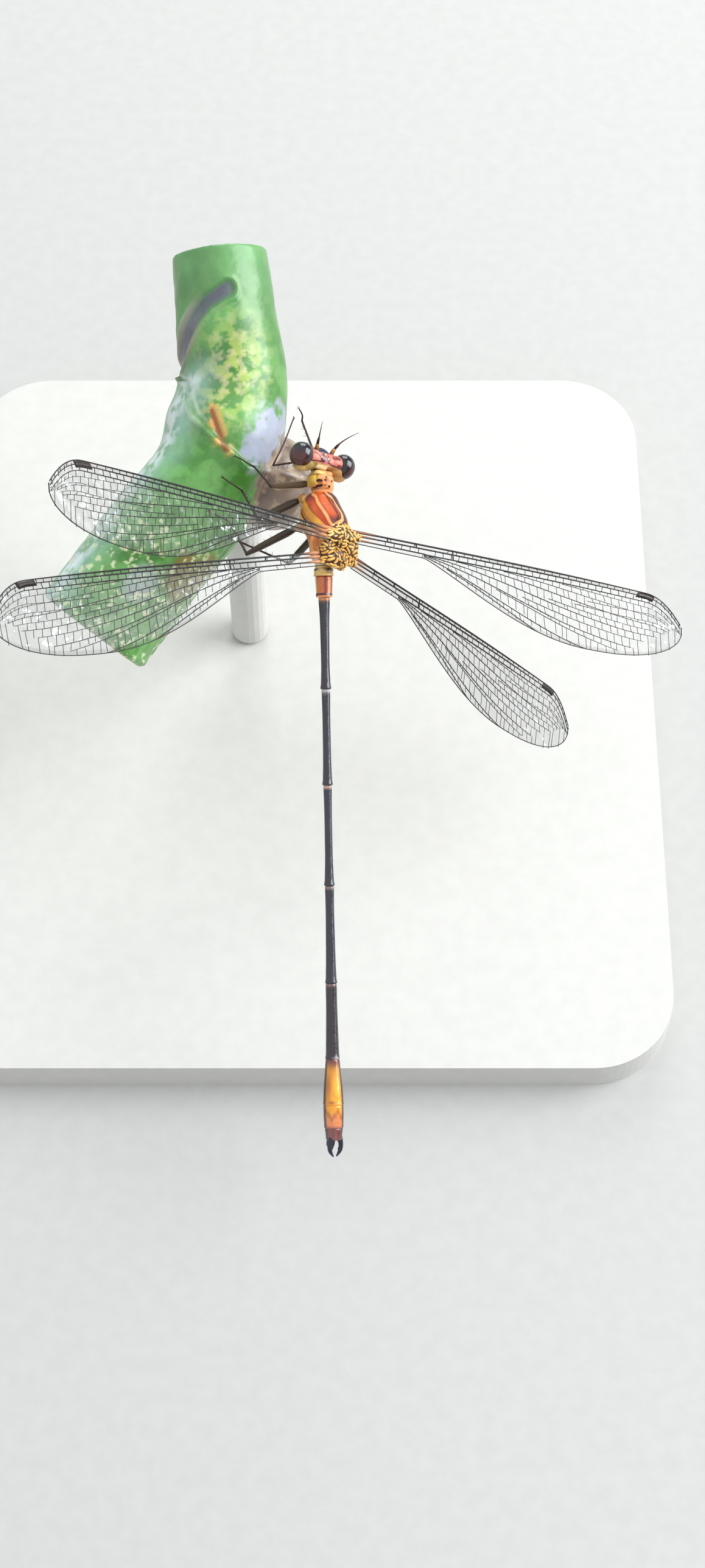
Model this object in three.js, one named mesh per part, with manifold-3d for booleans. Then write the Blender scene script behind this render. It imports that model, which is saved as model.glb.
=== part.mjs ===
// A still, life-size damselfly with open wings, on a short length of green stem.
// Millimetres, +Z up. The head points along +Y and the insect's right side is +X.
// The origin is the middle of the display stand's underside.
import * as THREE from 'three';
import Module from 'manifold-3d';
import { mergeVertices } from 'three/addons/utils/BufferGeometryUtils.js';

const wasm = await Module();
wasm.setup();

// Driving dimensions
const GAP = 0.3;                       // clearance between neighbouring pieces
const THORAX_CENTRE = new THREE.Vector3(2.0, -3.0, 29.5);
const HEAD_UP = 25.9;                  // degrees that the body points upwards
const ROLL = 36.5;                     // degrees that the back leans to the right
const YAW = -0.6;                      // degrees that the body turns to its right

const THORAX_FRONT = 2.55;
const THORAX_REAR = -2.4;
const CREST = 0.1;                     // height of the ridge along the middle of the back
const ABDOMEN_BASE = new THREE.Vector3(0, THORAX_REAR - GAP, -0.2);
const ABDOMEN_DROP = 2.7;              // degrees that the tail hangs below the thorax line
const ABDOMEN_TURN = 3.9;              // degrees that the tail turns to the right

const EYE_RADIUS = 0.87;
const EYE_SPREAD = 1.7;                // from the middle of the head to an eye's centre
const HEAD_CENTRE = new THREE.Vector3(-0.1, 4.62, -0.3);
const HEAD_TURN = -5;                  // degrees that the head turns to its right

const WING_THICKNESS = 0.5;
const WING_TIP_THICKNESS = 0.36;
const WING_STATIONS = 28;
const WING_LINES = 12;
const WING_AXIS = 0.085;               // share of the width that lies ahead of the wing's axis
const STALK_WIDTH = 0.17;              // share of the width at the wing's narrow root
const LEG_JOINT = 0.2;                 // how far each leg piece stops short of its joint

const STEM_RADIUS = 4.1;
const STEM_ELBOW = new THREE.Vector3(-4.2, 6.2, 27.4);
const STEM_UP = new THREE.Vector3(-0.1, 0.862, 0.497).normalize();
const STEM_DOWN = new THREE.Vector3(-0.6, -0.69, -0.4).normalize();
const STEM_KNOB = new THREE.Vector3(-1.9, 4.6, 24.6);  // dry swelling under the insect
const STEM_UP_LENGTH = 13;
const STEM_DOWN_LENGTH = 17;

const BASE_WIDTH = 54;
const BASE_DEPTH = 62;
const BASE_HEIGHT = 3;
const BASE_CORNER = 6;
const ROD_RADIUS = 1.4;

const COLOURS = {
  orange: { color: 0xc4591c, roughness: 0.5 },
  amber: { color: 0xc87a26, roughness: 0.45 },
  black: { color: 0x15161c, roughness: 0.35 },
  brown: { color: 0x3a2014, roughness: 0.5 },
  eye: { color: 0x1c0d0a, roughness: 0.12 },
  face: { color: 0xc9806a, roughness: 0.55 },
  wing: { color: 0x8a8577, roughness: 0.3 },
  stem: { color: 0x4f8a2e, roughness: 0.45 },
  stand: { color: 0xe4e1da, roughness: 0.6 },
};

const point = (x, y, z) => new THREE.Vector3(x, y, z);
const radians = THREE.MathUtils.degToRad;
const lerp = THREE.MathUtils.lerp;

// Builds an indexed geometry and turns its faces outwards.
function closedGeometry(points, faces) {
  let volume = 0;
  for (let i = 0; i < faces.length; i += 3) {
    const [a, b, c] = [points[faces[i]], points[faces[i + 1]], points[faces[i + 2]]];
    volume += a.dot(b.clone().cross(c));
  }
  const index = volume > 0 ? faces : faces.toReversed();
  const geometry = new THREE.BufferGeometry();
  geometry.setAttribute('position', new THREE.Float32BufferAttribute(points.flatMap((p) => p.toArray()), 3));
  geometry.setIndex(index);
  return geometry;
}

// Joins equal rings into one closed solid with a fan at each end.
function loft(rings) {
  const count = rings[0].length;
  const points = rings.flat();
  const faces = [];
  for (let ring = 0; ring + 1 < rings.length; ring += 1) {
    for (let i = 0; i < count; i += 1) {
      const a = ring * count + i;
      const b = ring * count + (i + 1) % count;
      faces.push(a, b, b + count, a, b + count, a + count);
    }
  }
  const middle = (ring) => ring.reduce((sum, p) => sum.add(p), point(0, 0, 0)).divideScalar(count);
  const first = points.push(middle(rings[0])) - 1;
  const last = points.push(middle(rings.at(-1))) - 1;
  const start = (rings.length - 1) * count;
  for (let i = 0; i < count; i += 1) {
    const next = (i + 1) % count;
    faces.push(first, next, i, last, start + i, start + next);
  }
  return closedGeometry(points, faces);
}

// One ring of an oval, made boxier as its roundness falls below 1.
function ovalRing(centre, side, up, halfWidth, halfHeight, sides, roundness = 1) {
  const bend = (value) => Math.sign(value) * Math.abs(value) ** roundness;
  const ring = [];
  for (let i = 0; i < sides; i += 1) {
    const angle = (i / sides) * Math.PI * 2;
    ring.push(centre.clone()
      .addScaledVector(side, bend(Math.cos(angle)) * halfWidth)
      .addScaledVector(up, bend(Math.sin(angle)) * halfHeight));
  }
  return ring;
}

// A round tapering limb along a smooth path, with one radius for each path point.
function limb(path, radii, sides, steps) {
  const curve = new THREE.CatmullRomCurve3(path);
  const rings = [];
  let side = null;
  for (let i = 0; i <= steps; i += 1) {
    const share = i / steps;
    const centre = curve.getPoint(share);
    const along = curve.getTangent(share);
    if (!side) {
      const helper = Math.abs(along.z) < 0.8 ? point(0, 0, 1) : point(1, 0, 0);
      side = helper.clone().cross(along);
    }
    side.addScaledVector(along, -side.dot(along)).normalize();
    const up = along.clone().cross(side);
    const place = share * (radii.length - 1);
    const low = Math.min(Math.floor(place), radii.length - 2);
    const radius = lerp(radii[low], radii[low + 1], place - low);
    rings.push(ovalRing(centre, side, up, radius, radius, sides));
  }
  return loft(rings);
}

function ellipsoid(centre, x, y, z, around, down) {
  const geometry = new THREE.SphereGeometry(1, around, down);
  geometry.scale(x, y, z);
  geometry.translate(centre.x, centre.y, centre.z);
  return geometry;
}

function toSolid(geometry) {
  const bare = new THREE.BufferGeometry();
  bare.setAttribute('position', geometry.getAttribute('position'));
  bare.setIndex(geometry.getIndex());
  const merged = mergeVertices(bare, 1e-4);
  return new wasm.Manifold(new wasm.Mesh({
    numProp: 3,
    vertProperties: new Float32Array(merged.getAttribute('position').array),
    triVerts: new Uint32Array(merged.getIndex().array),
  }));
}

// Turns a solid back into a geometry, keeping its largest closed surface.
function toGeometry(solid) {
  const largest = solid.decompose().sort((a, b) => b.volume() - a.volume())[0];
  const mesh = largest.getMesh();
  const geometry = new THREE.BufferGeometry();
  geometry.setAttribute('position', new THREE.Float32BufferAttribute(mesh.vertProperties, 3));
  geometry.setIndex(Array.from(mesh.triVerts));
  return geometry;
}

function join(...geometries) {
  return toGeometry(geometries.map(toSolid).reduce((whole, piece) => whole.add(piece)));
}

function cut(geometry, ...tools) {
  return toGeometry(tools.map(toSolid).reduce((whole, tool) => whole.subtract(tool), toSolid(geometry)));
}

function mesh(name, geometry, colour) {
  const material = new THREE.MeshStandardMaterial({ ...COLOURS[colour], metalness: 0 });
  const piece = new THREE.Mesh(geometry, material);
  piece.name = name;
  return piece;
}

const SIDES = [['left', -1], ['right', 1]];
const ACROSS = point(1, 0, 0);
const UP = point(0, 0, 1);

// Body: everything in here is in the insect's own axes, forward +Y and back up +Z.
const body = new THREE.Group();
body.position.copy(THORAX_CENTRE);
body.rotation.set(radians(HEAD_UP), radians(ROLL), radians(YAW), 'XYZ');
body.updateMatrixWorld();
const group = new THREE.Group();
group.name = 'damselfly';
group.add(body);

// Thorax stations from front (0) to rear (1): place, top, bottom, half width and how
// round the section is, from 1 for an oval down to a boxy form between the wings.
const THORAX_STATIONS = [
  [0, 0.1, -1.1, 0.62, 1],
  [0.06, 0.4, -1.5, 0.98, 1],
  [0.19, 0.8, -1.85, 1.3, 1],
  [0.33, 1.22, -2.0, 1.5, 0.95],
  [0.49, 1.62, -1.95, 1.58, 0.9],
  [0.64, 1.9, -1.8, 1.52, 0.82],
  [0.78, 1.85, -1.5, 1.36, 0.8],
  [0.91, 1.4, -1.15, 1.08, 0.85],
  [1, 0.95, -0.9, 0.78, 1],
];

function thoraxSection(y) {
  const share = (THORAX_FRONT - y) / (THORAX_FRONT - THORAX_REAR);
  const next = THORAX_STATIONS.findIndex(([place]) => place >= share);
  const [low, high] = [THORAX_STATIONS[next - 1], THORAX_STATIONS[next]];
  const blend = (share - low[0]) / (high[0] - low[0]);
  return low.map((value, index) => lerp(value, high[index], blend));
}

const WINGS = {
  fore: { length: 25, width: 5.0, base: point(1.12, -0.8, 1.95) },
  hind: { length: 24.2, width: 5.2, base: point(1.2, -2.4, 1.4) },
};
const WING_ANGLES = {
  fore_left: { sweep: -2.7, rise: 11.5, twist: -11.8 },
  fore_right: { sweep: 7.6, rise: 14.8, twist: -9.3 },
  hind_left: { sweep: 10, rise: -7.9, twist: -11.3 },
  hind_right: { sweep: 19.5, rise: -8, twist: -8.8 },
};

function wingRotation(side, angles) {
  return new THREE.Euler(
    radians(angles.twist), radians(-side * angles.rise), radians(-side * angles.sweep), 'ZYX');
}

function wingBase(pair, side) {
  const base = WINGS[pair].base.clone();
  base.x *= side;
  return base;
}

// The short boss that each wing grows from, ending in a flat face across its span.
function wingBoss(pair, side, angles) {
  const turn = wingRotation(side, angles);
  const outward = point(side, 0, 0).applyEuler(turn);
  const forward = point(0, 1, 0).applyEuler(turn);
  const up = point(0, 0, 1).applyEuler(turn);
  const rings = [];
  for (const [depth, chord, height] of [[-1.3, 0.75, 0.5], [-0.5, 0.6, 0.42], [0, 0.45, 0.3]]) {
    const centre = wingBase(pair, side).addScaledVector(outward, depth);
    rings.push(ovalRing(centre, forward, up, chord, height, 10));
  }
  return loft(rings);
}

// Small raised plates on the back between the wings, paired across the middle.
function wingPlates() {
  const plates = [];
  for (const [, side] of SIDES) {
    for (const [row, y] of [-0.1, -0.75, -1.35, -1.95].entries()) {
      for (const across of [0.32, 0.85]) {
        const [, top, bottom, half] = thoraxSection(y);
        const fall = Math.sqrt(1 - (across / half) ** 2);
        const height = (top + bottom) / 2 + (fall * (top - bottom)) / 2 + 0.05;
        const long = 0.2 + 0.05 * ((row + 1) % 2);
        plates.push(ellipsoid(point(side * across, y, height), 0.24, long, 0.16, 7, 4));
      }
    }
  }
  return plates;
}

function thorax() {
  const sides = 24;
  const rings = THORAX_STATIONS.map(([share, top, bottom, half, roundness]) => {
    const centre = point(0, lerp(THORAX_FRONT, THORAX_REAR, share), (top + bottom) / 2);
    const ring = ovalRing(centre, ACROSS, UP, half, (top - bottom) / 2, sides, roundness);
    ring[sides / 4].z += CREST;
    return ring;
  });
  const bosses = [];
  for (const [name, side] of SIDES) {
    for (const pair of ['fore', 'hind']) {
      bosses.push(wingBoss(pair, side, WING_ANGLES[`${pair}_${name}`]));
    }
  }
  return join(loft(rings), ...bosses, ...wingPlates());
}
body.add(mesh('synthorax', thorax(), 'orange'));

// Prothorax: a collar with a raised saddle, narrowing to the neck.
function prothorax() {
  const stations = [
    [GAP, 0.55, 0.65],
    [0.42, 0.76, 0.82],
    [0.64, 0.7, 0.74],
    [0.84, 0.76, 0.78],
    [1.02, 0.55, 0.56],
    [1.14, 0.34, 0.36],
  ];
  const rings = stations.map(([forward, half, height]) => (
    ovalRing(point(0, THORAX_FRONT + forward, -0.45), ACROSS, UP, half, height, 18)));
  return loft(rings);
}
body.add(mesh('prothorax', prothorax(), 'orange'));

// Head: a bar between the eyes with a bulging face, rear lobes and three small simple eyes.
const headGroup = new THREE.Group();
headGroup.position.copy(HEAD_CENTRE);
headGroup.rotation.z = radians(HEAD_TURN);
body.add(headGroup);

const eyeCentre = (side) => point(side * EYE_SPREAD, 0.1, 0.1);

function head() {
  const pieces = [
    ellipsoid(point(0, 0, 0), 1.6, 0.66, 0.74, 18, 10),
    ellipsoid(point(0, 0.42, -0.35), 0.85, 0.66, 0.62, 16, 10),
    ellipsoid(point(0, 0.62, -0.72), 0.62, 0.42, 0.4, 14, 8),
    ellipsoid(point(0, 0.25, -1.02), 0.52, 0.5, 0.42, 12, 8),
    ellipsoid(point(0, 0.25, 0.62), 0.2, 0.18, 0.17, 8, 6),
  ];
  for (const [, side] of SIDES) {
    pieces.push(ellipsoid(point(side * 1.12, -0.22, -0.2), 0.72, 0.48, 0.74, 14, 10));
    pieces.push(ellipsoid(point(side * 0.34, 0.02, 0.7), 0.19, 0.17, 0.14, 8, 6));
    pieces.push(ellipsoid(point(side * 0.62, 0.55, 0.12), 0.24, 0.22, 0.22, 8, 6));
  }
  const radius = EYE_RADIUS + GAP;
  const cups = SIDES.map(([, side]) => ellipsoid(eyeCentre(side), radius, radius, radius, 16, 10));
  return cut(join(...pieces), ...cups);
}
headGroup.add(mesh('head', head(), 'face'));

for (const [name, side] of SIDES) {
  const eye = mesh(`eye_${name}`, ellipsoid(point(0, 0, 0), EYE_RADIUS * 0.96, EYE_RADIUS, EYE_RADIUS, 20, 14), 'eye');
  eye.position.copy(eyeCentre(side));
  headGroup.add(eye);
}

for (const [name, side] of SIDES) {
  const root = point(side * 0.66, 1.06, 0.24);
  const path = [
    root,
    root.clone().add(point(side * 0.12, 0.45, 0.25)),
    root.clone().add(point(side * 0.45, 1.0, 0.75)),
    root.clone().add(point(side * 0.85, 1.35, 1.35)),
  ];
  headGroup.add(mesh(`antenna_${name}`, limb(path, [0.24, 0.2, 0.12, 0.07], 8, 8), 'brown'));
}

// Wings: the edges as shares of the width, at a share of the span.
function leadingEdge(span) {
  const bow = -0.03 * Math.sin(Math.PI * span ** 1.2);
  const tip = Math.max(0, (span - 0.88) / 0.12);
  return bow + 0.4 * tip ** 2.2;
}

function trailingEdge(span) {
  const widening = THREE.MathUtils.clamp((span - 0.2) / 0.5, 0, 1);
  const rounding = THREE.MathUtils.clamp((span - 0.7) / 0.3, 0, 1);
  if (rounding > 0) return 0.46 + 0.54 * Math.sqrt(Math.max(0, 1 - rounding ** 2.4));
  return STALK_WIDTH + (1 - STALK_WIDTH) * Math.sin((widening * Math.PI) / 2) ** 1.15;
}

function wing(pair, side) {
  const { length, width } = WINGS[pair];
  const top = [];
  const bottom = [];
  for (let i = 0; i <= WING_STATIONS; i += 1) {
    const span = i / WING_STATIONS;
    const front = leadingEdge(span) * width;
    const back = trailingEdge(span) * width;
    const half = lerp(WING_THICKNESS, WING_TIP_THICKNESS, span ** 3) / 2;
    for (let j = 0; j <= WING_LINES; j += 1) {
      const chord = lerp(front, back, j / WING_LINES) - WING_AXIS * width;
      const x = side * (GAP + span * (length - GAP));
      top.push(point(x, -chord, half));
      bottom.push(point(x, -chord, -half));
    }
  }
  return plate(top, bottom, WING_STATIONS, WING_LINES);
}

// Closes two like grids of points into one thin solid, split alike on both faces.
function plate(top, bottom, stations, lines) {
  const row = lines + 1;
  const under = top.length;
  const faces = [];
  for (let i = 0; i < stations; i += 1) {
    for (let j = 0; j < lines; j += 1) {
      const a = i * row + j;
      const b = a + 1;
      const c = a + row;
      const d = c + 1;
      faces.push(a, c, b, b, c, d);
      faces.push(under + a, under + b, under + c, under + b, under + d, under + c);
    }
  }
  const rim = [];
  for (let i = 0; i < stations; i += 1) rim.push(i * row);
  for (let j = 0; j < lines; j += 1) rim.push(stations * row + j);
  for (let i = stations; i > 0; i -= 1) rim.push(i * row + lines);
  for (let j = lines; j > 0; j -= 1) rim.push(j);
  rim.forEach((a, k) => {
    const b = rim[(k + 1) % rim.length];
    faces.push(a, under + b, b, a, under + a, under + b);
  });
  return closedGeometry([...top, ...bottom], faces);
}

for (const [name, side] of SIDES) {
  for (const pair of ['fore', 'hind']) {
    const piece = mesh(`wing_${pair}_${name}`, wing(pair, side), 'wing');
    piece.position.copy(wingBase(pair, side));
    piece.rotation.copy(wingRotation(side, WING_ANGLES[`${pair}_${name}`]));
    body.add(piece);
  }
}

// Abdomen: segments from the thorax to the tip, each with its length and radii.
const SEGMENTS = [
  { length: 0.6, radii: [0.62, 0.6], colour: 'orange' },
  { length: 1.4, radii: [0.57, 0.55, 0.52], colour: 'orange' },
  { length: 6.2, radii: [0.42, 0.36, 0.33, 0.32, 0.36], colour: 'black' },
  { length: 6.5, radii: [0.3, 0.27, 0.27, 0.28, 0.33], colour: 'black' },
  { length: 6.8, radii: [0.29, 0.26, 0.26, 0.27, 0.33], colour: 'black' },
  { length: 6.6, radii: [0.31, 0.29, 0.31, 0.33, 0.38], colour: 'black' },
  { length: 5.1, radii: [0.38, 0.38, 0.42, 0.46, 0.5], colour: 'black' },
  { length: 3.1, radii: [0.55, 0.6, 0.67, 0.69], colour: 'amber' },
  { length: 1.55, radii: [0.68, 0.67, 0.61], colour: 'amber' },
  { length: 0.8, radii: [0.57, 0.52], colour: 'brown' },
];
const abdomen = new THREE.Group();
abdomen.position.copy(ABDOMEN_BASE);
abdomen.rotation.set(radians(ABDOMEN_DROP), 0, radians(ABDOMEN_TURN), 'ZXY');
body.add(abdomen);

let segmentStart = 0;
SEGMENTS.forEach(({ length, radii, colour }, index) => {
  const from = segmentStart + (index ? GAP : 0.15);
  const to = segmentStart + length;
  const rings = radii.map((radius, i) => {
    const centre = point(0, -lerp(from, to, i / (radii.length - 1)), 0);
    return ovalRing(centre, ACROSS, UP, radius, radius * 1.04, 16);
  });
  abdomen.add(mesh(`abdomen_${index + 1}`, loft(rings), colour));
  segmentStart = to;
});

for (const [name, side] of SIDES) {
  const path = [
    point(side * 0.36, -segmentStart - GAP, 0.16),
    point(side * 0.54, -segmentStart - 0.6, 0.18),
    point(side * 0.48, -segmentStart - 0.9, 0.12),
    point(side * 0.26, -segmentStart - 1.15, 0.06),
  ];
  abdomen.add(mesh(`cercus_${name}`, limb(path, [0.25, 0.22, 0.15, 0.08], 10, 8), 'black'));
}
const paraproctPath = [
  point(0, -segmentStart - GAP, -0.38),
  point(0, -segmentStart - 0.6, -0.46),
  point(0, -segmentStart - 0.85, -0.46),
];
abdomen.add(mesh('paraprocts', limb(paraproctPath, [0.2, 0.17, 0.1], 10, 5), 'brown'));

// Perch: a stem with an elbow at its node, cut short at both ends.
function stemPath() {
  return new THREE.CatmullRomCurve3([
    STEM_ELBOW.clone().addScaledVector(STEM_DOWN, STEM_DOWN_LENGTH),
    STEM_ELBOW.clone().addScaledVector(STEM_DOWN, STEM_DOWN_LENGTH * 0.55),
    STEM_ELBOW.clone().addScaledVector(STEM_DOWN, 3.2),
    STEM_ELBOW.clone().addScaledVector(STEM_UP, 3.2),
    STEM_ELBOW.clone().addScaledVector(STEM_UP, STEM_UP_LENGTH * 0.6),
    STEM_ELBOW.clone().addScaledVector(STEM_UP, STEM_UP_LENGTH),
  ]);
}

function stem(extra) {
  const curve = stemPath();
  const steps = 20;
  const rings = [];
  const side = ACROSS.clone();
  for (let i = 0; i <= steps; i += 1) {
    const share = i / steps;
    const along = curve.getTangentAt(share);
    side.addScaledVector(along, -side.dot(along)).normalize();
    const up = along.clone().cross(side);
    const taper = lerp(1.03, 0.84, share ** 2);
    const node = 0.07 * Math.exp(-(((share - 0.58) / 0.05) ** 2));
    const radius = STEM_RADIUS * (taper + node) + extra;
    rings.push(ovalRing(curve.getPointAt(share), side, up, radius, radius, 24));
  }
  return loft(rings);
}

// The stem with the dry swelling that the insect holds.
function perch(extra) {
  const knob = ellipsoid(STEM_KNOB, 3 + extra, 3.4 + extra, 3 + extra, 16, 12);
  return join(stem(extra), knob);
}
group.add(mesh('perch_stem', perch(0), 'stem'));

// A point on the stem, by its distance up from the elbow and its angle from the top.
function stemPoint(distance, angle, lift) {
  const along = distance > 0 ? STEM_UP : STEM_DOWN.clone().negate();
  const axis = STEM_ELBOW.clone().addScaledVector(along, distance);
  const outward = UP.clone().addScaledVector(along, -UP.dot(along)).normalize();
  outward.applyAxisAngle(along, radians(angle));
  return axis.addScaledVector(outward, STEM_RADIUS * 1.05 + lift);
}

// Legs: femur, tibia and tarsus, from the thorax to a hold on the stem.
const LEGS = [
  { name: 'fore_left', hip: [-0.55, 3.15, -1.2], toe: [-1.4, 34], heel: [-1.2, 52], bend: [-0.8, -0.7, 0.3] },
  { name: 'fore_right', hip: [0.5, 3.15, -1.42], toe: [0.5, 58], heel: [-0.3, 66], bend: [1, 0.8, 0.2] },
  { name: 'mid_left', hip: [-0.85, 2.1, -1.85], toe: [-3.1, 36], heel: [-3.0, 56], bend: [-0.5, -1, 0.4] },
  { name: 'mid_right', hip: [0.8, 2.0, -1.75], toe: [1.6, 84], heel: [0.9, 98], bend: [1, 0.2, 0.1] },
  { name: 'hind_left', hip: [-0.95, 0.2, -2.0], toe: [-5.5, 44], heel: [-5.2, 64], bend: [-0.5, -1, 0.5] },
  { name: 'hind_right', hip: [0.85, 0.1, -2.05], toe: [-6.0, 78], heel: [-5.8, 94], bend: [0.8, -0.8, -0.1] },
];
const FEMUR = { fore: 2.6, mid: 3.2, hind: 3.9 };
const TIBIA = { fore: 2.5, mid: 3.0, hind: 3.6 };

function knee(hip, heel, femur, tibia, bend) {
  const reach = heel.clone().sub(hip);
  const distance = Math.min(reach.length(), (femur + tibia) * 0.985);
  const along = reach.normalize();
  const forward = (femur ** 2 - tibia ** 2 + distance ** 2) / (2 * distance);
  const outward = bend.clone().addScaledVector(along, -bend.dot(along)).normalize();
  return hip.clone()
    .addScaledVector(along, forward)
    .addScaledVector(outward, Math.sqrt(Math.max(0, femur ** 2 - forward ** 2)));
}

for (const leg of LEGS) {
  const pair = leg.name.split('_')[0];
  const hip = body.localToWorld(point(...leg.hip));
  const heel = stemPoint(...leg.heel, 0.6);
  const toe = stemPoint(...leg.toe, 0.5);
  const bend = point(...leg.bend).applyQuaternion(body.quaternion);
  const joint = knee(hip, heel, FEMUR[pair], TIBIA[pair], bend);
  const shorten = (from, to) => {
    const step = to.clone().sub(from).normalize();
    return [from.clone().addScaledVector(step, LEG_JOINT), to.clone().addScaledVector(step, -LEG_JOINT)];
  };
  const straight = (from, to) => [from, from.clone().lerp(to, 0.5), to];
  const parts = [
    ['femur', straight(...shorten(hip, joint)), [0.22, 0.29, 0.28, 0.27, 0.17]],
    ['tibia', straight(...shorten(joint, heel)), [0.17, 0.25, 0.25, 0.24, 0.15]],
    ['tarsus', straight(...shorten(heel, toe)), [0.15, 0.24, 0.23, 0.18, 0.1]],
  ];
  for (const [name, path, radii] of parts) {
    group.add(mesh(`leg_${leg.name}_${name}`, limb(path, radii, 8, 4), 'brown'));
  }
}

// Display stand: a flat base and one short rod up to the stem.
function standBase() {
  const [x, y] = [BASE_WIDTH / 2 - BASE_CORNER, BASE_DEPTH / 2 - BASE_CORNER];
  const outline = new THREE.Shape();
  outline.absarc(x, y, BASE_CORNER, 0, Math.PI / 2);
  outline.absarc(-x, y, BASE_CORNER, Math.PI / 2, Math.PI);
  outline.absarc(-x, -y, BASE_CORNER, Math.PI, Math.PI * 1.5);
  outline.absarc(x, -y, BASE_CORNER, Math.PI * 1.5, Math.PI * 2);
  return new THREE.ExtrudeGeometry(outline, { depth: BASE_HEIGHT, bevelEnabled: false, curveSegments: 8 });
}
group.add(mesh('stand_base', standBase(), 'stand'));

function standRod() {
  const low = BASE_HEIGHT + GAP;
  const rod = new THREE.CylinderGeometry(ROD_RADIUS, ROD_RADIUS, STEM_ELBOW.z - low, 20);
  rod.rotateX(Math.PI / 2);
  rod.translate(STEM_ELBOW.x, STEM_ELBOW.y, (STEM_ELBOW.z + low) / 2);
  return cut(rod, perch(GAP));
}
group.add(mesh('stand_rod', standRod(), 'stand'));

export default group;
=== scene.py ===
import math
import random

import bmesh
import bpy
import numpy as np
from mathutils import Matrix, Vector, kdtree
from mathutils import noise as clouds


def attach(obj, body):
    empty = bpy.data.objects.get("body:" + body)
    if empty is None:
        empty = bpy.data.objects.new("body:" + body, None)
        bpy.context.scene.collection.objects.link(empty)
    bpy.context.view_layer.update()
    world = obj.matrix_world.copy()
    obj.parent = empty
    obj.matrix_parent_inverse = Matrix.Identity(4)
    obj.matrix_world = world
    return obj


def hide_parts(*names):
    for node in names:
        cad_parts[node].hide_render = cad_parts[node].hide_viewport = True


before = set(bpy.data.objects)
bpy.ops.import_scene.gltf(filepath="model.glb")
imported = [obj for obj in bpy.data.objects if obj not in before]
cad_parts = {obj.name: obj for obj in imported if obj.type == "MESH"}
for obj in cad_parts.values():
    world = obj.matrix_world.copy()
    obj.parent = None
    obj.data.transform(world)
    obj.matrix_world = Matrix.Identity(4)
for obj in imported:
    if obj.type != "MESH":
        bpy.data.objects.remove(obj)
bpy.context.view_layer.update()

# Lengths below are millimetres unless a name says otherwise
MM = 0.001

# Pose of the body, as in the solids
THORAX_CENTRE = (2.0, -3.0, 29.5)
HEAD_UP = 25.9
ROLL = 36.5
YAW = -0.6
THORAX_FRONT = 2.55
THORAX_REAR = -2.4
ABDOMEN_BASE = (0, -2.7, -0.2)
ABDOMEN_DROP = 2.7
ABDOMEN_TURN = 3.9
HEAD_CENTRE = (-0.2, 4.52, -0.3)
HEAD_TURN = -7
EYE_RADIUS = 0.87
EYE_SPREAD = 1.75

# Photograph's view: camera height angle, distance and scale at the insect
CAMERA_UP = 60
CAMERA_DISTANCE = 175
PIXELS_PER_MM = 24.3
PHOTO_HEIGHT = 2576
THORAX_IN_VIEW = (-1.81, 17.3)
SENSOR = 36

SIDES = (("left", -1), ("right", 1))


def rotation(x, y, z, order="xyz"):
    """A rotation matrix from degrees, the first letter of the order outermost."""
    angles = {"x": x, "y": y, "z": z}
    result = np.eye(3)
    for axis in order:
        turn = Matrix.Rotation(math.radians(angles[axis]), 3, axis.upper())
        result = result @ np.array(turn)
    return result


class Place:
    """A position and a rotation, for points in millimetres."""

    def __init__(self, origin, turn):
        self.origin = np.array(origin, dtype=float)
        self.turn = turn

    def at(self, points):
        return np.asarray(points, dtype=float) @ self.turn.T + self.origin

    def child(self, origin, turn):
        return Place(self.at(origin), self.turn @ turn)


WORLD = Place((0, 0, 0), np.eye(3))
BODY = Place(THORAX_CENTRE, rotation(HEAD_UP, ROLL, YAW))
HEAD = BODY.child(HEAD_CENTRE, rotation(0, 0, HEAD_TURN))
ABDOMEN = BODY.child(ABDOMEN_BASE, rotation(ABDOMEN_DROP, 0, ABDOMEN_TURN, "zxy"))


def unit(vector):
    return vector / np.linalg.norm(vector)


def square_to(axis, vector):
    """The direction of a vector's part at right angles to an axis."""
    return unit(vector - axis * axis.dot(vector))


def smooth_step(low, high, value):
    share = np.clip((np.asarray(value, dtype=float) - low) / (high - low), 0, 1)
    return share * share * (3 - 2 * share)


def bump(centre, width, value):
    """A soft hill of height 1 round a centre."""
    return np.exp(-(((np.asarray(value, dtype=float) - centre) / width) ** 2))


def spline(xs, ys, value):
    """Smooth interpolation through a few named stations."""
    xs = np.asarray(xs, dtype=float)
    ys = np.asarray(ys, dtype=float)
    value = np.clip(np.asarray(value, dtype=float), xs[0], xs[-1])
    slopes = np.gradient(ys, xs)
    index = np.clip(np.searchsorted(xs, value, side="right") - 1, 0, len(xs) - 2)
    span = xs[index + 1] - xs[index]
    t = (value - xs[index]) / span
    return ((2 * t**3 - 3 * t**2 + 1) * ys[index] + (t**3 - 2 * t**2 + t) * span * slopes[index]
            + (3 * t**2 - 2 * t**3) * ys[index + 1] + (t**3 - t**2) * span * slopes[index + 1])


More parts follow.
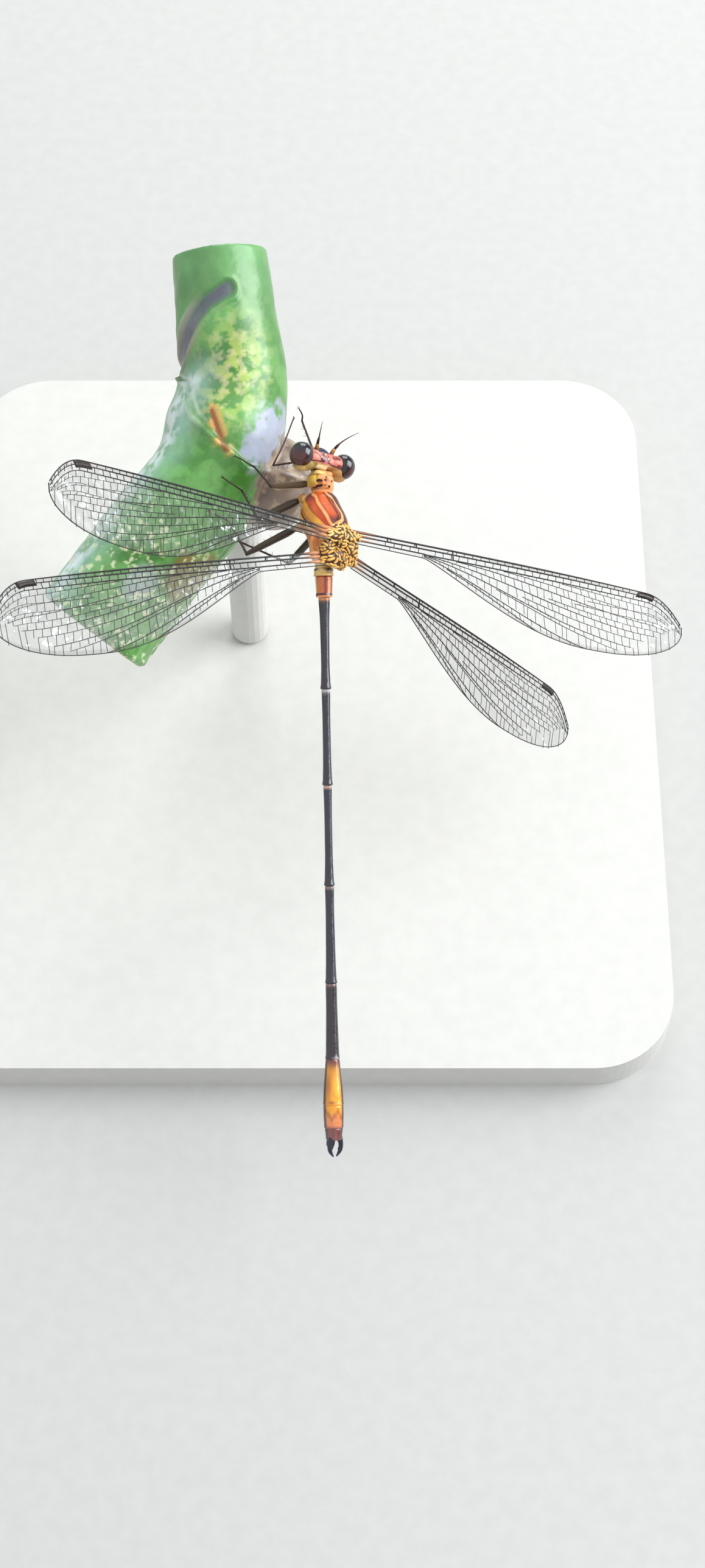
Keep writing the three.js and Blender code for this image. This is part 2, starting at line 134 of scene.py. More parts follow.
def catmull(points, count):
    """A smooth path through points, evenly spaced."""
    points = np.asarray(points, dtype=float)
    ends = np.vstack([2 * points[0] - points[1], points, 2 * points[-1] - points[-2]])
    path = []
    for i in range(1, len(ends) - 2):
        p0, p1, p2, p3 = ends[i - 1:i + 3]
        for t in np.linspace(0, 1, 60, endpoint=False):
            path.append(0.5 * (2 * p1 + (p2 - p0) * t + (2 * p0 - 5 * p1 + 4 * p2 - p3) * t**2
                               + (3 * p1 - p0 - 3 * p2 + p3) * t**3))
    path.append(points[-1])
    path = np.array(path)
    along = np.concatenate([[0], np.cumsum(np.linalg.norm(np.diff(path, axis=0), axis=1))])
    even = np.linspace(0, along[-1], count)
    return np.stack([np.interp(even, along, path[:, k]) for k in range(3)], axis=1)


# Mesh building
def add_object(name, data):
    item = bpy.data.objects.new(name, data)
    bpy.context.scene.collection.objects.link(item)
    return item


class Shape:
    """Points and faces gathered for one mesh."""

    def __init__(self):
        self.points = []
        self.faces = []
        self.colours = []
        self.count = 0

    def add(self, points, faces, colour=(1, 1, 1)):
        points = np.asarray(points, dtype=float).reshape(-1, 3)
        self.points.append(points)
        self.faces.extend([tuple(i + self.count for i in face) for face in faces])
        colour = np.asarray(colour, dtype=float)
        self.colours.append(np.broadcast_to(colour, (len(points), 3)))
        self.count += len(points)

    def loft(self, rings, colour=(1, 1, 1)):
        """Closes a row of equal rings, an array of rings by sides by 3."""
        rings = np.asarray(rings, dtype=float)
        rows, sides, _ = rings.shape
        ends = np.stack([rings[0].mean(0), rings[-1].mean(0)])
        faces = []
        for r in range(rows - 1):
            for i in range(sides):
                a = r * sides + i
                b = r * sides + (i + 1) % sides
                faces.append((a, b, b + sides, a + sides))
        last = (rows - 1) * sides
        total = rows * sides
        for i in range(sides):
            j = (i + 1) % sides
            faces.append((total, j, i))
            faces.append((total + 1, last + i, last + j))
        colour = np.asarray(colour, dtype=float)
        if colour.ndim > 1:
            flat = colour.reshape(-1, 3)
            colour = np.vstack([flat, flat[:1], flat[-1:]])
        self.add(np.vstack([rings.reshape(-1, 3), ends]), faces, colour)

    def tube(self, path, radii, sides=8, colour=(1, 1, 1), flat=1.0):
        """A tapering tube along a path, with a radius at each point."""
        path = np.asarray(path, dtype=float)
        radii = np.broadcast_to(np.asarray(radii, dtype=float), (len(path),))
        tangents = np.gradient(path, axis=0)
        tangents /= np.linalg.norm(tangents, axis=1)[:, None]
        side = np.cross(tangents[0], (0.31, 0.2, 0.93))
        angles = np.arange(sides) * 2 * math.pi / sides
        rings = []
        for centre, along, radius in zip(path, tangents, radii):
            side = square_to(along, side)
            up = np.cross(along, side)
            ring = (np.cos(angles)[:, None] * side + flat * np.sin(angles)[:, None] * up) * radius
            rings.append(centre + ring)
        self.loft(rings, colour)

    def ellipsoid(self, centre, radii, around=24, down=14, colour=(1, 1, 1), turn=None):
        polar = np.linspace(0.08, math.pi - 0.08, down)
        angles = np.arange(around) * 2 * math.pi / around
        rings = np.stack([
            np.sin(polar)[:, None] * np.cos(angles)[None, :],
            np.sin(polar)[:, None] * np.sin(angles)[None, :],
            np.repeat(np.cos(polar)[:, None], around, 1),
        ], axis=-1) * np.asarray(radii, dtype=float)
        if turn is not None:
            rings = rings @ turn.T
        self.loft(rings + np.asarray(centre, dtype=float), colour)

    def build(self, name, place=WORLD):
        mesh = bpy.data.meshes.new(name)
        mesh.from_pydata((place.at(np.vstack(self.points)) * MM).tolist(), [], self.faces)
        mesh.update()
        piece = add_object(name, mesh)
        face_outwards(piece)
        mesh.polygons.foreach_set("use_smooth", [True] * len(mesh.polygons))
        paint(piece, np.vstack(self.colours))
        return piece


def face_outwards(piece):
    work = bmesh.new()
    work.from_mesh(piece.data)
    bmesh.ops.recalc_face_normals(work, faces=work.faces)
    work.to_mesh(piece.data)
    work.free()


def paint(piece, colours):
    """Stores one colour for each point, which the material mixes with its grain."""
    layer = piece.data.color_attributes.get("Paint")
    if layer is None:
        layer = piece.data.color_attributes.new("Paint", "FLOAT_COLOR", "POINT")
    full = np.ones((len(piece.data.vertices), 4), dtype=np.float32)
    full[:, :3] = colours
    layer.data.foreach_set("color", full.ravel())


def vertex_values(piece, name):
    flat = np.empty(len(piece.data.vertices) * 3, dtype=np.float32)
    piece.data.vertices.foreach_get(name, flat)
    return flat.reshape(-1, 3)


def points_of(piece, place=WORLD):
    """The points of a piece, in a place's own millimetres."""
    return (vertex_values(piece, "co") / MM - place.origin) @ place.turn


def melt(piece, voxel, relax):
    """Fuses overlapping forms into one smooth skin."""
    remesh = piece.modifiers.new("Fuse", "REMESH")
    remesh.mode = "VOXEL"
    remesh.voxel_size = voxel * MM
    remesh.use_smooth_shade = True
    soften = piece.modifiers.new("Soften", "SMOOTH")
    soften.factor = 0.5
    soften.iterations = relax
    bpy.context.view_layer.objects.active = piece
    depsgraph = bpy.context.evaluated_depsgraph_get()
    mesh = bpy.data.meshes.new_from_object(piece.evaluated_get(depsgraph))
    piece.modifiers.clear()
    piece.data = mesh


# Materials
class Surface:
    """A new material, with its main shader's inputs and the object's own coordinates."""

    def __init__(self, name):
        self.material = bpy.data.materials.new(name)
        self.material.use_nodes = True
        self.nodes = self.material.node_tree.nodes
        self.links = self.material.node_tree.links
        self.inputs = self.nodes["Principled BSDF"].inputs
        self.where = self.nodes.new("ShaderNodeTexCoord").outputs["Object"]

    def feed(self, socket, value):
        """Joins a socket to another one, or sets it to a number or a colour."""
        if isinstance(value, bpy.types.NodeSocket):
            self.links.new(value, socket)
        elif isinstance(value, (int, float)):
            socket.default_value = value
        else:
            socket.default_value = (*value, 1)

    def painted(self, output):
        """The colour stored at each point, or its grey value."""
        node = self.nodes.new("ShaderNodeAttribute")
        node.attribute_name = "Paint"
        return node.outputs[output]

    def mix(self, factor, first, second):
        node = self.nodes.new("ShaderNodeMix")
        node.data_type = "RGBA"
        for socket, value in zip((0, 6, 7), (factor, first, second)):
            self.feed(node.inputs[socket], value)
        return node.outputs[2]

    def stretch(self, value, low, high, new_low=0.0, new_high=1.0):
        """Maps one range of values onto another."""
        node = self.nodes.new("ShaderNodeMapRange")
        limits = {"From Min": low, "From Max": high, "To Min": new_low, "To Max": new_high}
        for name, limit in limits.items():
            node.inputs[name].default_value = limit
        self.links.new(value, node.inputs["Value"])
        return node.outputs["Result"]

    def noise(self, scale, detail=4.0, low=0.35, high=0.65):
        """Noise stretched to run from 0 to 1 between two of its values."""
        node = self.nodes.new("ShaderNodeTexNoise")
        node.inputs["Scale"].default_value = scale
        node.inputs["Detail"].default_value = detail
        self.links.new(self.where, node.inputs["Vector"])
        return self.stretch(node.outputs["Fac"], low, high)

    def maths(self, operation, *values):
        node = self.nodes.new("ShaderNodeMath")
        node.operation = operation
        for socket, value in zip(node.inputs, values):
            self.feed(socket, value)
        return node.outputs[0]

    def relief(self, height, strength, depth):
        node = self.nodes.new("ShaderNodeBump")
        node.inputs["Strength"].default_value = strength
        node.inputs["Distance"].default_value = depth * MM
        self.links.new(height, node.inputs["Height"])
        self.links.new(node.outputs["Normal"], self.inputs["Normal"])


def cuticle(name, rough=0.38, shine=0.35, grain=2200, depth=0.02, darker=0.72, coat=0.15):
    """Painted insect cuticle: mottled, finely pitted and softly glossy."""
    surface = Surface(name)
    colour = surface.painted("Color")
    blotch = surface.noise(grain * 0.4)
    dark = surface.mix(1.0, colour, (darker, darker * 0.93, darker * 0.88))
    dark.node.blend_type = "MULTIPLY"
    surface.feed(surface.inputs["Base Color"], surface.mix(blotch, dark, colour))
    pits = surface.noise(grain, detail=6.0)
    surface.feed(surface.inputs["Roughness"], surface.stretch(pits, 0, 1, rough - 0.08, rough + 0.12))
    surface.relief(pits, 0.5, depth)
    surface.inputs["Specular IOR Level"].default_value = shine
    surface.inputs["Coat Weight"].default_value = coat
    surface.inputs["Coat Roughness"].default_value = 0.18
    return surface.material


def membrane_material():
    """Clear, faintly smoky membrane, with white glints painted on as highlights where it is wrinkled; the
    glints also make it less clear.
    """
    surface = Surface("wing_membrane")
    painted_glint_mask = surface.painted("Fac")
    speck = surface.noise(1900, detail=2.0, low=0.6, high=0.68)
    # Painted highlight: white specks where the stored grey value allows
    painted_glint = surface.maths("MULTIPLY", speck, painted_glint_mask)
    haze = surface.noise(350, detail=3.0)
    smoke = surface.mix(haze, (0.11, 0.11, 0.1), (0.2, 0.2, 0.19))
    surface.feed(surface.inputs["Base Color"], surface.mix(painted_glint, smoke, (0.9, 0.93, 0.97)))
    thin = surface.maths("MULTIPLY_ADD", haze, 0.05, 0.15)
    surface.feed(surface.inputs["Alpha"], surface.maths("MAXIMUM", thin, painted_glint))
    wrinkle = surface.nodes.new("ShaderNodeTexVoronoi")
    wrinkle.feature = "SMOOTH_F1"
    wrinkle.inputs["Scale"].default_value = 1700
    surface.links.new(surface.where, wrinkle.inputs["Vector"])
    surface.relief(wrinkle.outputs["Distance"], strength=0.6, depth=0.06)
    surface.inputs["Roughness"].default_value = 0.14
    surface.inputs["Specular IOR Level"].default_value = 0.9
    return surface.material


def finish_piece(piece, material, replaces):
    piece.data.materials.clear()
    piece.data.materials.append(material)
    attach(piece, "root")
    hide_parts(*replaces)
    return piece


def tone(red, green, blue):
    """A colour from 0 to 255 as seen on a screen, made linear."""
    share = np.array((red, green, blue)) / 255
    return np.where(share > 0.04045, ((share + 0.055) / 1.055) ** 2.4, share / 12.92)


# Colours of the cuticle
CREAM = tone(238, 198, 118)
PEACH = tone(240, 158, 98)
YELLOW = tone(226, 158, 48)
LEMON = tone(224, 182, 72)
ORANGE = tone(204, 92, 30)
BURNT = tone(176, 62, 16)
MAROON = tone(66, 14, 16)
TAN = tone(196, 122, 62)
BROWN = tone(52, 24, 14)
PINK = tone(208, 122, 104)
MAUVE = tone(166, 116, 128)
OCHRE = tone(192, 142, 80)
OLIVE = tone(176, 150, 84)
BLACK = tone(20, 26, 42)
AMBER = tone(224, 148, 34)
DUSK = tone(128, 72, 66)


def blend(base, other, amount):
    amount = np.clip(np.asarray(amount, dtype=float), 0, 1)[..., None]
    return base * (1 - amount) + other * amount


def layered(colour, *coats):
    """Lays coats over a colour in turn, each a tint and how far it covers."""
    for tint, amount in coats:
        colour = blend(colour, tint, amount)
    return colour


# Thorax, from the same stations as the solid: share of its length, top, bottom, half width and roundness
STATIONS = np.array([
    (0, 0.1, -1.1, 0.62, 1),
    (0.06, 0.4, -1.5, 0.98, 1),
    (0.19, 0.8, -1.85, 1.3, 1),
    (0.33, 1.22, -2.0, 1.5, 0.95),
    (0.49, 1.62, -1.95, 1.58, 0.9),
    (0.64, 1.9, -1.8, 1.52, 0.82),
    (0.78, 1.85, -1.5, 1.36, 0.8),
    (0.91, 1.4, -1.15, 1.08, 0.85),
    (1, 0.95, -0.9, 0.78, 1),
])
# Degrees from the top to the middle of the pattern, and the flat size on which its lines are measured
LEAN = -8
PATTERN_LENGTH = 4.95
PATTERN_RADIUS = 1.45

# Lines of the thorax pattern, each point a share of its length and degrees from the top
LEFT_STRIPE = ((0, -95), (0.1, -54), (0.2, -46), (0.29, -37), (0.39, -29), (0.48, -25), (0.54, -20))
RIGHT_STRIPE = ((0, -18), (0.09, -5), (0.15, 6), (0.27, 13), (0.35, 17), (0.43, 11), (0.48, -2), (0.51, -9))
MIDDLE_LINE = ((0.01, -31), (0.12, -14), (0.24, -5), (0.37, 1), (0.44, -3), (0.5, -13))
SIDE_LINE = ((0.01, 30), (0.1, 33), (0.27, 38), (0.47, 41))
SIDE_BAND = ((0.03, -128), (0.14, -114), (0.24, -90), (0.38, -72), (0.47, -58), (0.56, -46))
UNDER_LINE = ((0.18, -124), (0.32, -104), (0.45, -86), (0.56, -70), (0.62, -60))
REAR_LINE = ((0.62, -74), (0.74, -92), (0.84, -94), (0.96, -84))
REAR_SEAM = ((0.6, -56), (0.7, -66), (0.82, -74), (0.97, -78))
PLATE_BORDER = ((0.5, 0.58, 0.7, 0.82, 0.94, 1), (-16, -31, -42, -54, -70, -80))


def section(share):
    return [spline(STATIONS[:, 0], STATIONS[:, k], share) for k in range(1, 5)]


def thorax_point(share, angle):
    """A point on the thorax at an angle in degrees from the top, positive to the right."""
    top, bottom, half, round_ = section(share)
    turn = np.radians(angle)
    across = np.sign(np.sin(turn)) * np.abs(np.sin(turn)) ** round_
    height = np.sign(np.cos(turn)) * np.abs(np.cos(turn)) ** round_
    y = THORAX_FRONT + (THORAX_REAR - THORAX_FRONT) * share
    z = (top + bottom) / 2 + height * ((top - bottom) / 2)
    return np.stack(np.broadcast_arrays(across * half, y, z), axis=-1)


def thorax_angles(points):
    """Share along the thorax and degrees from the top of its back."""
    share = np.clip((THORAX_FRONT - points[:, 1]) / (THORAX_FRONT - THORAX_REAR), 0, 1)
    top, bottom, half, round_ = section(share)
    across = points[:, 0] / half
    height = (points[:, 2] - (top + bottom) / 2) / ((top - bottom) / 2)
    across = np.sign(across) * np.abs(across) ** (1 / round_)
    height = np.sign(height) * np.abs(height) ** (1 / round_)
    return share, np.degrees(np.arctan2(across, height))


def line_distance(share, angle, line, length=PATTERN_LENGTH, radius=PATTERN_RADIUS):
    """How far each point lies from a line of the pattern."""
    points = np.stack([share * length, np.radians(angle) * radius], 1)
    return path_distance(points, np.array([(s * length, math.radians(a) * radius) for s, a in line]))


def path_distance(points, nodes):
    """How far flat points lie from a path of straight pieces."""
    nearest = np.full(len(points), 1e9)
    for first, last in zip(nodes[:-1], nodes[1:]):
        step = last - first
        t = np.clip((points - first) @ step / step.dot(step), 0, 1)
        nearest = np.minimum(nearest, np.linalg.norm(points - first - t[:, None] * step, axis=1))
    return nearest


def mark(distance, width, soft=0.045):
    """1 inside a line of this half width, fading to 0 outside it."""
    return 1 - smooth_step(width - soft, width + soft, distance)


def in_plates(share, angle):
    """Where the knobbly plates between the wings lie."""
    left = spline(*PLATE_BORDER, share)
    right = np.minimum(2 * LEAN - left + 40, 88)
    inside = smooth_step(left - 2, left + 2, angle) * smooth_step(right + 3, right - 3, angle)
    border = 0.5 + 0.0012 * np.abs(angle + 2)
    return inside * smooth_step(border - 0.01, border + 0.01, share)


def thorax_paint(points):
    """Stripes of the thorax by place along it and angle round it, with painted shade on the right side and a
    painted highlight on the left humeral band.
    """
    share, angle = thorax_angles(points)
    flank = LEAN - np.abs(angle - LEAN)
    left = np.interp(share, *np.transpose(LEFT_STRIPE))
    right = np.interp(share, *np.transpose(RIGHT_STRIPE[:6]))
    band = line_distance(share, flank, SIDE_BAND)
    below = smooth_step(-4, -12, flank - np.interp(share, *np.transpose(SIDE_BAND)))

    def on_line(line, around, width, soft=0.045):
        return mark(line_distance(share, around, line), width, soft)

    middle = layered(
        ORANGE,
        (BURNT, smooth_step(0.1, 0.42, share) * 0.6),
        # Partly a dark line, partly painted shade: the middle band darkens to maroon over the right half of
        # its ridge
        (MAROON, smooth_step(right - 15, right - 7, angle) * smooth_step(0.02, 0.12, share)),
        (MAROON, smooth_step(0.34, 0.46, share) * 0.9),
    )
    humeral = layered(
        BURNT,
        # Painted highlight: a lighter orange patch in the middle of the left humeral band
        (ORANGE, bump(-58, 12, angle) * bump(0.3, 0.13, share)),
        (tone(120, 40, 34), smooth_step(0.2, 0.06, share)),
    )
    pleura = layered(
        TAN,
        (ORANGE, bump(-70, 10, flank) * 0.5),
        (BROWN * 2.2, smooth_step(-96, -112, flank) * 0.7),
    )
    return layered(
        middle,
        (humeral, smooth_step(left + 2, left - 2, angle)),
        # Partly painted shade: everything right of the right stripe is maroon, so the right side is darker
        # than the left
        (MAROON, smooth_step(right - 2, right + 2, angle)),
        (MAROON, on_line(MIDDLE_LINE, angle, 0.07) * 0.85),
        (BURNT * 0.6, on_line(LEFT_STRIPE, angle - 9, 0.05) * 0.6),
        (BURNT * 0.6, on_line(LEFT_STRIPE, angle + 9, 0.05) * 0.6),
        (PEACH, smooth_step(0.04, 0.01, share)),
        (YELLOW, mark(band, 0.25, 0.05)),
        (BURNT * 0.7, mark(np.abs(band - 0.3), 0.05) * 0.5),
        (TAN, below * smooth_step(0.25, 0.3, band)),
        (CREAM, on_line(UNDER_LINE, flank + 10, 0.13, 0.05)),
        (BROWN, on_line(UNDER_LINE, flank, 0.055)),
        (pleura, smooth_step(0.54, 0.6, share) * smooth_step(-28, -38, flank)),
        (BURNT * 0.5, on_line(REAR_SEAM, flank, 0.05) * 0.85),
        (PEACH, on_line(REAR_LINE, flank, 0.11, 0.05)),
        (PEACH, on_line(LEFT_STRIPE, angle, 0.1)),
        (PEACH, on_line(RIGHT_STRIPE, angle, 0.1)),
        (PEACH * 0.9, on_line(SIDE_LINE, angle, 0.035) * 0.9),
        (tone(222, 186, 124), smooth_step(-104, -120, flank) * smooth_step(0.5, 0.4, share) * 0.8),
        (tone(66, 32, 10), in_plates(share, angle)),
    )


# Wings of each pair, then each wing's sweep, rise and twist in degrees, and the hips of the right legs
WING_PAIRS = {
    "fore": {"length": 25.0, "width": 5.0, "base": (1.12, -0.8, 1.95)},
    "hind": {"length": 24.2, "width": 5.2, "base": (1.2, -2.4, 1.4)},
}
WING_ANGLES = {
    "fore_left": (-2.7, 11.5, -11.8),
    "fore_right": (7.6, 14.8, -9.3),
    "hind_left": (10, -7.9, -11.3),
    "hind_right": (19.5, -8, -8.8),
}
HIPS = {"fore": (0.55, 3.15, -1.2), "mid": (0.85, 2.1, -1.85), "hind": (0.95, 0.2, -2.0)}


def wing_place(pair, name, side):
    sweep, rise, twist = WING_ANGLES[f"{pair}_{name}"]
    base = np.array(WING_PAIRS[pair]["base"]) * (side, 1, 1)
    return BODY.child(base, rotation(twist, -side * rise, -side * sweep, "zyx"))


def make_thorax():
    shape = Shape()
    shares = np.linspace(0, 1, 90)
    angles = np.arange(0, 360, 3.0)
    rings = [thorax_point(share, angles) for share in shares]
    for share, ring in zip(shares, rings):
        ring[:, 2] += bump(0, 5, (angles + 180) % 360 - 180) * 0.1
        low = np.clip(-np.cos(np.radians(angles)), 0, 1) * bump(0.7, 0.2, share)
        ring[:, 2] += 0.75 * low
        ring[:, 0] *= 1 - 0.2 * low - 0.08 * bump(0.72, 0.16, share)
    shape.loft(rings)
    for name, side in SIDES:
        for pair in ("fore", "hind"):
            wing = wing_place(pair, name, side)
            stump = np.array(((-1.5, 0, -0.35), (-0.8, 0, -0.12), (-0.3, 0, 0), (0.25, 0, 0)))
            path = (wing.at(stump * (side, 1, 1)) - BODY.origin) @ BODY.turn
            shape.tube(path, (0.8, 0.6, 0.38, 0.24), 16, flat=0.75)
        shape.ellipsoid((side * 0.95, -1.55, 1.35), (0.62, 1.05, 0.55), 24, 14)
    for _, side in SIDES:
        for hip in HIPS.values():
            socket = np.array(hip) * (side, 1, 1)
            shape.ellipsoid(socket + (-side * 0.1, 0, 0.35), (0.34, 0.36, 0.5), 14, 9)
    piece = shape.build("thorax_skin", BODY)
    melt(piece, voxel=0.03, relax=5)
    paint(piece, thorax_paint(points_of(piece, BODY)))
    return finish_piece(piece, cuticle("thorax_cuticle", rough=0.36, shine=0.4), ["synthorax"])


# Bars between the wings: half length and how often a place for one is tried, then their thickness
PLATE_BARS = ((0.24, 160), (0.17, 600), (0.11, 1500), (0.06, 1800), (0.02, 1500))
PLATE_THICK = (0.066, 0.1)
PLATE_SWELL = np.array((0.3, 0.7, 0.92, *[1] * 7, 0.92, 0.7, 0.3))


def make_sclerites(skin):
    """Cream bars packed on dark ground between the wing bases."""
    draw = random.Random(7)
    points = points_of(skin, BODY)
    normals = vertex_values(skin, "normal") @ BODY.turn
    share, angle = thorax_angles(points)
    inside = (in_plates(share, angle) > 0.5) & (normals[:, 2] > -0.3)
    inside &= (points[:, 1] > THORAX_REAR - 0.6) & (np.abs(points[:, 0]) < 1.75)
    order = list(np.flatnonzero(inside))
    finder = kdtree.KDTree(len(points))
    for i, point in enumerate(points):
        finder.insert(point, i)
    finder.balance()
    taken = np.zeros((0, 4))
    shape = Shape()
    for long, tries in PLATE_BARS:
        for _ in range(tries):
            i = draw.choice(order)
            normal = unit(normals[i])
            lengthwise = points[i][0] > -0.5 and draw.random() < 0.6
            heading = (draw.uniform(-0.8, 0.8), 1, 0) if lengthwise else (1, draw.uniform(-0.6, 0.6), 0)
            along = unit(np.cross(np.cross(normal, heading), normal))
            thick = draw.uniform(*PLATE_THICK)
            bend = np.cross(normal, along) * draw.uniform(-0.09, 0.09)
            centre = points[i] + normal * draw.uniform(-0.01, 0.02)
            bar = [centre + along * long * t + bend * (1 - t * t) for t in (-1, -0.5, 0, 0.5, 1)]
            for k, spot in enumerate(bar):
                near = finder.find(spot)[1]
                lifted = (spot - points[near]).dot(normals[near])
                bar[k] = spot - normals[near] * (lifted - 0.012)
            samples = np.array(bar)
            if len(taken):
                gaps = np.linalg.norm(samples[:, None] - taken[None, :, :3], axis=2)
                if (gaps < thick * 0.86 + taken[None, :, 3] * 0.92).any():
                    continue
            taken = np.vstack([taken, np.column_stack([samples, np.full(5, thick)])])
            tip = along * thick * 0.8
            ring = catmull([bar[0] - tip, *bar, bar[-1] + tip], 13)
            golden = smooth_step(-0.2, -2.2, points[i][1]) * 0.4 + draw.uniform(-0.2, 0.4)
            tint = blend(CREAM * draw.uniform(0.8, 1.15), YELLOW * 0.8, golden)
            shape.tube(ring, thick * PLATE_SWELL, 10, tint)
    piece = shape.build("wing_base_plates", BODY)
    return finish_piece(piece, cuticle("plate_cuticle", rough=0.4, shine=0.35), ["synthorax"])


# Prothorax by its distance forward, half width and half height, and its spots by place and size
PROTHORAX_STATIONS = np.array((
    (-0.3, 0.6, 0.65), (0.1, 0.72, 0.78), (0.4, 0.8, 0.88), (0.66, 0.76, 0.8),
    (0.84, 0.82, 0.86), (1.08, 0.74, 0.78), (1.28, 0.56, 0.62), (1.75, 0.4, 0.44),
))
PROTHORAX_SPOTS = (
    (-0.18, 0.64, 0.15), (-0.14, 0.86, 0.1), (-0.69, 0.58, 0.14), (-0.54, 0.56, 0.11), (-0.58, 0.24, 0.13),
    (-0.44, 0.27, 0.13), (0.13, 0.24, 0.13), (-0.22, 0.3, 0.06), (0.3, 0.62, 0.09),
)


def prothorax_paint(points):
    x = points[:, 0] + 0.14
    y = points[:, 1] - THORAX_FRONT
    off = np.abs(x + 0.3)
    above = points[:, 2] > -0.5
    spots = [(BROWN, (1 - smooth_step(size * 0.7, size, np.hypot(x - across, (y - forward) * 1.2))) * above)
             for across, forward, size in PROTHORAX_SPOTS]
    return layered(
        PEACH,
        (ORANGE, bump(0.2, 0.16, off) * bump(0.55, 0.3, y) * 0.8),
        (LEMON, smooth_step(0.32, 0.5, off) * smooth_step(0.1, -0.2, x)),
        (CREAM, bump(1.16, 0.12, y) * smooth_step(0.0, -0.2, x)),
        (BROWN, bump(1.0, 0.04, y) * smooth_step(-0.35, -0.7, x) * 0.8),
        (BROWN, smooth_step(1.26, 1.4, y) * 0.85),
        (BROWN, bump(0.1, 0.05, y) * bump(0.3, 0.3, off) * 0.8),
        *spots,
    )


def make_prothorax():
    shape = Shape()
    ahead, half, tall = PROTHORAX_STATIONS.T
    forward = np.linspace(ahead[0], ahead[-1], 60)
    angles = np.radians(np.arange(0, 360, 5.0))
    shape.loft([
        np.stack([np.sin(angles) * w, np.full_like(angles, f + THORAX_FRONT), np.cos(angles) * h - 0.45], -1)
        for f, w, h in zip(forward, spline(ahead, half, forward), spline(ahead, tall, forward))])
    for _, side in SIDES:
        shape.ellipsoid((side * 0.34, THORAX_FRONT + 0.74, 0.24), (0.34, 0.34, 0.2), 16, 10)
        shape.ellipsoid((side * 0.64, THORAX_FRONT + 0.62, -0.25), (0.3, 0.5, 0.42), 16, 10)
        shape.ellipsoid((side * 0.4, THORAX_FRONT + 1.16, 0.0), (0.36, 0.2, 0.28), 16, 10)
    for block in shape.points:
        block[:, 0] -= 0.26 * smooth_step(THORAX_FRONT + 0.1, THORAX_FRONT + 0.6, block[:, 1])
    piece = shape.build("prothorax_skin", BODY)
    melt(piece, voxel=0.04, relax=3)
    paint(piece, prothorax_paint(points_of(piece, BODY)))
    material = cuticle("prothorax_cuticle", rough=0.42, shine=0.35)
    return finish_piece(piece, material, ["prothorax"])


# Head
MARK_SHIFT = -0.22


def make_head():
    shape = Shape()
    shape.ellipsoid((0, 0.05, 0), (1.62, 0.62, 0.74), 40, 24)
    shape.ellipsoid((0, 0.42, -0.35), (0.85, 0.66, 0.62), 30, 18)
    shape.ellipsoid((0, 0.62, -0.72), (0.62, 0.42, 0.4), 24, 16)
    shape.ellipsoid((0, 0.25, -1.02), (0.52, 0.5, 0.42), 24, 16)
    shape.ellipsoid((MARK_SHIFT, 0.36, 0.6), (0.15, 0.13, 0.15), 16, 10)
    shape.ellipsoid((MARK_SHIFT, -0.42, 0.28), (0.5, 0.24, 0.26), 24, 14)
    for _, side in SIDES:
        shape.ellipsoid((side * 0.9, 0.06, 0.3), (0.62, 0.58, 0.56), 28, 18)
        backwards = rotation(0, 0, -side * 14)
        shape.ellipsoid((side * 1.2, -0.34, -0.1), (0.8, 0.52, 0.74), 28, 18, turn=backwards)
        shape.ellipsoid((side * 1.6, -0.58, -0.1), (0.5, 0.4, 0.54), 22, 14)
        shape.ellipsoid((MARK_SHIFT + side * 0.3, 0.14, 0.66), (0.13, 0.12, 0.11), 14, 9)
        shape.ellipsoid((side * 0.62, 0.55, 0.12), (0.24, 0.24, 0.22), 16, 10)
        shape.ellipsoid((side * 0.36, 0.95, -0.62), (0.2, 0.16, 0.3), 16, 10)
    piece = shape.build("head_skin", HEAD)
    melt(piece, voxel=0.03, relax=3)
    paint(piece, head_paint(points_of(piece, HEAD)))
    return finish_piece(piece, cuticle("head_cuticle", rough=0.42, shine=0.4, grain=2600), ["head"])


# Marks on top of the head: colour, half width and a path across and forward
RUST = tone(120, 42, 30)
SOOT = tone(52, 22, 22)
ROSE = tone(220, 158, 140)
HEAD_MARKS = (
    (MAUVE, 0.16, ((-0.68, 0.56), (-0.33, 0.3), (-0.04, 0.0))),
    (ROSE, 0.06, ((-1.05, 0.42), (-0.74, 0.26), (-0.47, 0.12))),
    (SOOT, 0.035, ((-1.12, 0.34), (-0.75, 0.14), (-0.5, 0.02))),
    (SOOT, 0.1, ((-0.5, -0.02), (-0.28, -0.08))),
    (SOOT, 0.045, ((-1.2, -0.27), (-0.7, -0.2), (-0.28, -0.12))),
    (RUST, 0.045, ((0.05, 0.6), (0.1, 0.2), (0.12, -0.04))),
    (RUST, 0.14, ((0.56, 0.33), (0.88, 0.32))),
    (RUST, 0.1, ((0.88, -0.17), (1.4, -0.2))),
    (SOOT, 0.045, ((0.07, -0.12), (0.73, -0.26), (1.5, -0.36))),
)


